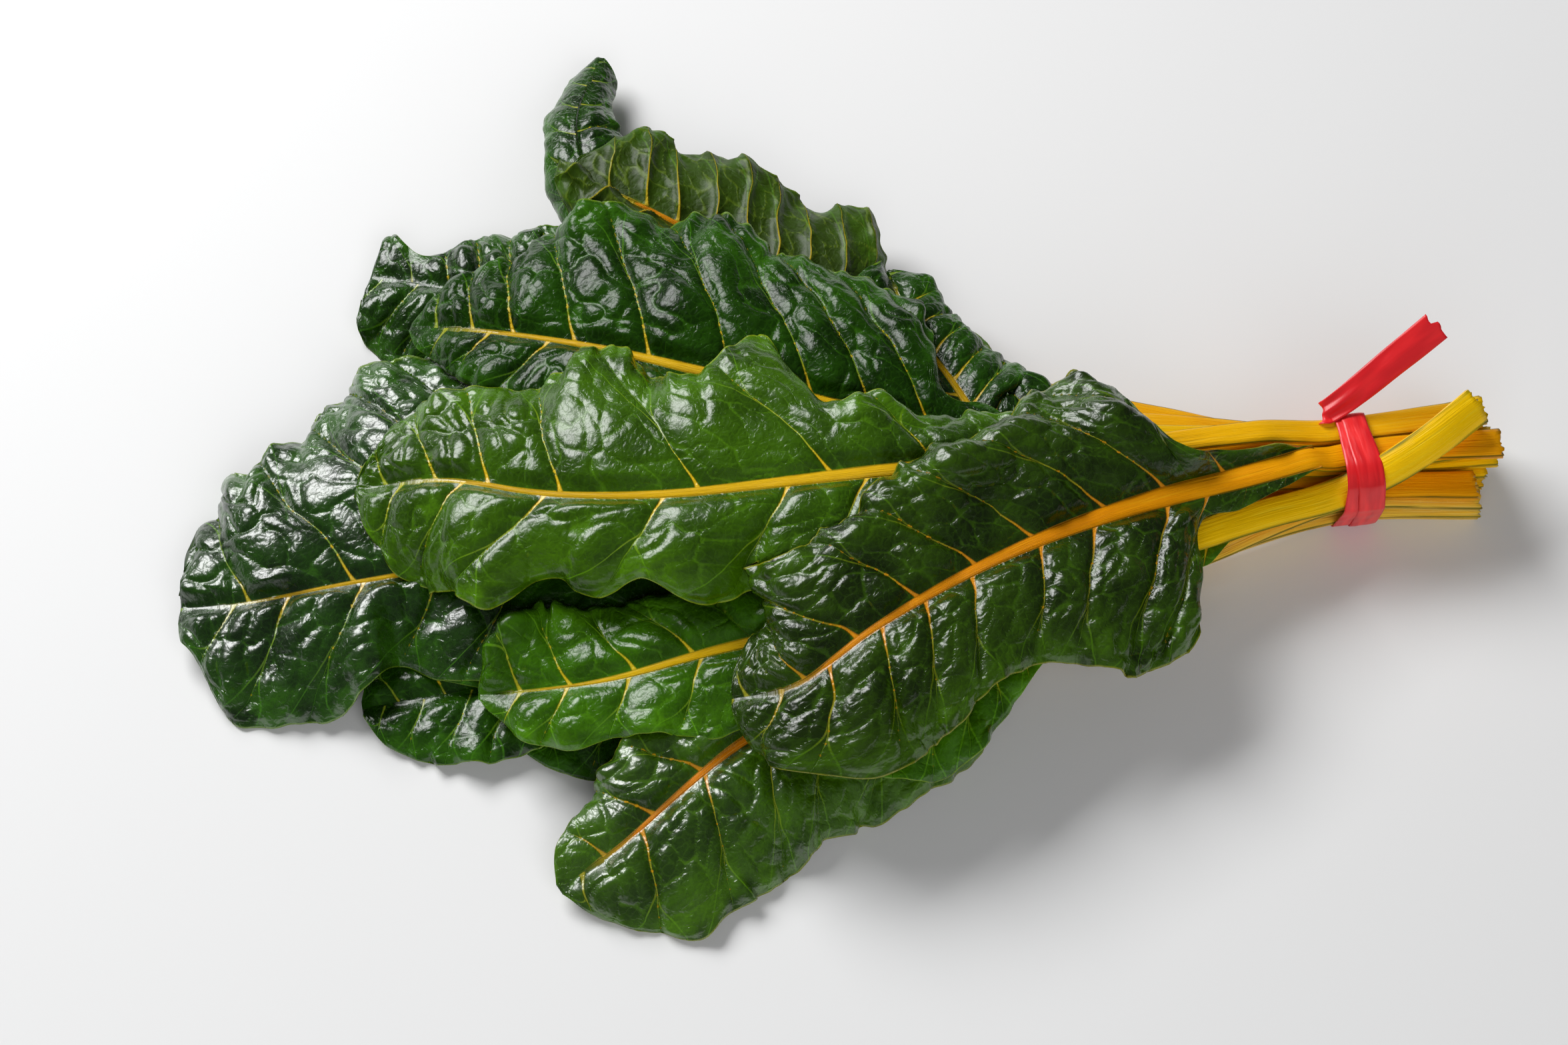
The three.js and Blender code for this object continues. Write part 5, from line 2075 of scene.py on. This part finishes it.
@dataclass(frozen=True)
class Studio:
    """The pale floor, the soft light and the camera, in metres.

    Attributes:
        target: What the camera and the lights face.
        elevation: How steeply the camera looks down, in degrees.
        lens: Its focal length in millimetres.
        sensor: The width of its sensor in millimetres.
        pixel: What one pixel shows at the target.
        image_width: The width of the image in pixels.
        floor: The length of the floor's sides.
        floor_greys: The colours that are mottled over the floor.
        lamps: A window-like light behind on the left, and a broad weak one in front.
        sky: The colour of what is around it all.
        sky_strength: How bright that is.
    """

    target: Triple = (-0.018, -0.040, 0.040)
    elevation: float = 60.0
    lens: float = 80.0
    sensor: float = 36.0
    pixel: float = 0.2254 * MM
    image_width: int = 2352
    floor: float = 16.0
    floor_greys: tuple[Colour, Colour] = ((0.82, 0.82, 0.82), (0.84, 0.84, 0.84))
    lamps: tuple[Lamp, ...] = (
        Lamp("window", (-0.95, 1.0, 1.25), (1.3, 0.85), 40.0),
        Lamp("front", (0.4, -1.7, 1.3), (2.4, 1.8), 25.0, glossy=False),
    )
    sky: Colour = (0.93, 0.96, 1.0)
    sky_strength: float = 0.06

    def build(self) -> None:
        """Builds all of it."""
        self.build_floor()
        self.build_lights()
        self.build_camera()

    def build_floor(self) -> None:
        """Lays the floor."""
        half = self.floor / 2
        corners = [(-half, -half, 0), (half, -half, 0), (half, half, 0), (-half, half, 0)]
        mesh = bpy.data.meshes.new("floor")
        mesh.from_pydata(corners, [], [(0, 1, 2, 3)])
        g = Graph("floor_pale")
        mottle = g.noise(g.object_place(), 3.0)
        mesh.materials.append(g.finish(Base_Color=g.mix(mottle, *self.floor_greys), Roughness=0.7))
        floor = bpy.data.objects.new("floor", mesh)
        bpy.context.scene.collection.objects.link(floor)

    def build_lamp(self, lamp: Lamp) -> None:
        """Hangs one light so that it faces the target."""
        data = bpy.data.lights.new(lamp.name, "AREA")
        data.shape = "RECTANGLE"
        data.size, data.size_y = lamp.size
        data.energy = lamp.power
        made = bpy.data.objects.new(lamp.name, data)
        made.location = lamp.place
        facing = Vector(self.target) - Vector(lamp.place)
        made.rotation_euler = facing.to_track_quat("-Z", "Y").to_euler()
        made.visible_glossy = lamp.glossy
        bpy.context.scene.collection.objects.link(made)

    def build_lights(self) -> None:
        """Hangs the lights, and puts a weak cool one all around."""
        for lamp in self.lamps:
            self.build_lamp(lamp)
        world = bpy.data.worlds.new("studio")
        world.use_nodes = True
        back = world.node_tree.nodes["Background"]
        back.inputs["Color"].default_value = (*self.sky, 1.0)
        back.inputs["Strength"].default_value = self.sky_strength
        bpy.context.scene.world = world
        bpy.context.scene.view_settings.view_transform = "Standard"

    def build_camera(self) -> None:
        """Places the camera at the photograph's viewing angle."""
        data = bpy.data.cameras.new("camera")
        data.lens = self.lens
        data.sensor_width = self.sensor
        camera = bpy.data.objects.new("camera", data)
        tilt = math.radians(self.elevation)
        distance = self.pixel * self.lens / self.sensor * self.image_width
        target = Vector(self.target)
        camera.location = target + distance * Vector((0, -math.cos(tilt), math.sin(tilt)))
        camera.rotation_euler = (math.radians(90) - tilt, 0, 0)
        bpy.context.scene.collection.objects.link(camera)
        bpy.context.scene.camera = camera


@dataclass
class Bunch:
    """The whole bunch: its leaves in the order in which they were laid, and its tie."""

    heap: Heap = field(default_factory=Heap)

    def build(self) -> None:
        """Builds every piece and lets it stand for its solid."""
        tied = []
        for order, plan in enumerate(LEAVES):
            blade = Blade(plan, order)
            leaf = blade.build(self.heap)
            stem, points = Stalk(plan, order, blade).build(self.heap)
            tied.append(points)
            self.place(leaf, f"{plan.name}_blade", LEAF_FINISHES[plan.leaf].slot)
            self.place(stem, f"{plan.name}_stalk", STEM_FINISHES[plan.stem].slot)
        self.place(Ribbon().build(np.concatenate(tied)), "ribbon_tie", "red_ribbon")

    def place(self, piece: bpy.types.Object, node: str, slot: str) -> None:
        """Makes a piece ride with the part and stand for one of its solids.

        Args:
            piece: The piece.
            node: The solid's node.
            slot: The name of its material slot; it is not used.
        """
        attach(piece, "root")
        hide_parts(node)


def main() -> None:
    """Builds the bunch and its studio."""
    logging.basicConfig(level=logging.INFO, format="%(message)s")
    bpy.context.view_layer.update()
    Bunch().build()
    Studio().build()
    log.info("all pieces: %d triangles", Model.all_triangles)
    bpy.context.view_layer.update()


if __name__ == "__main__":
    main()
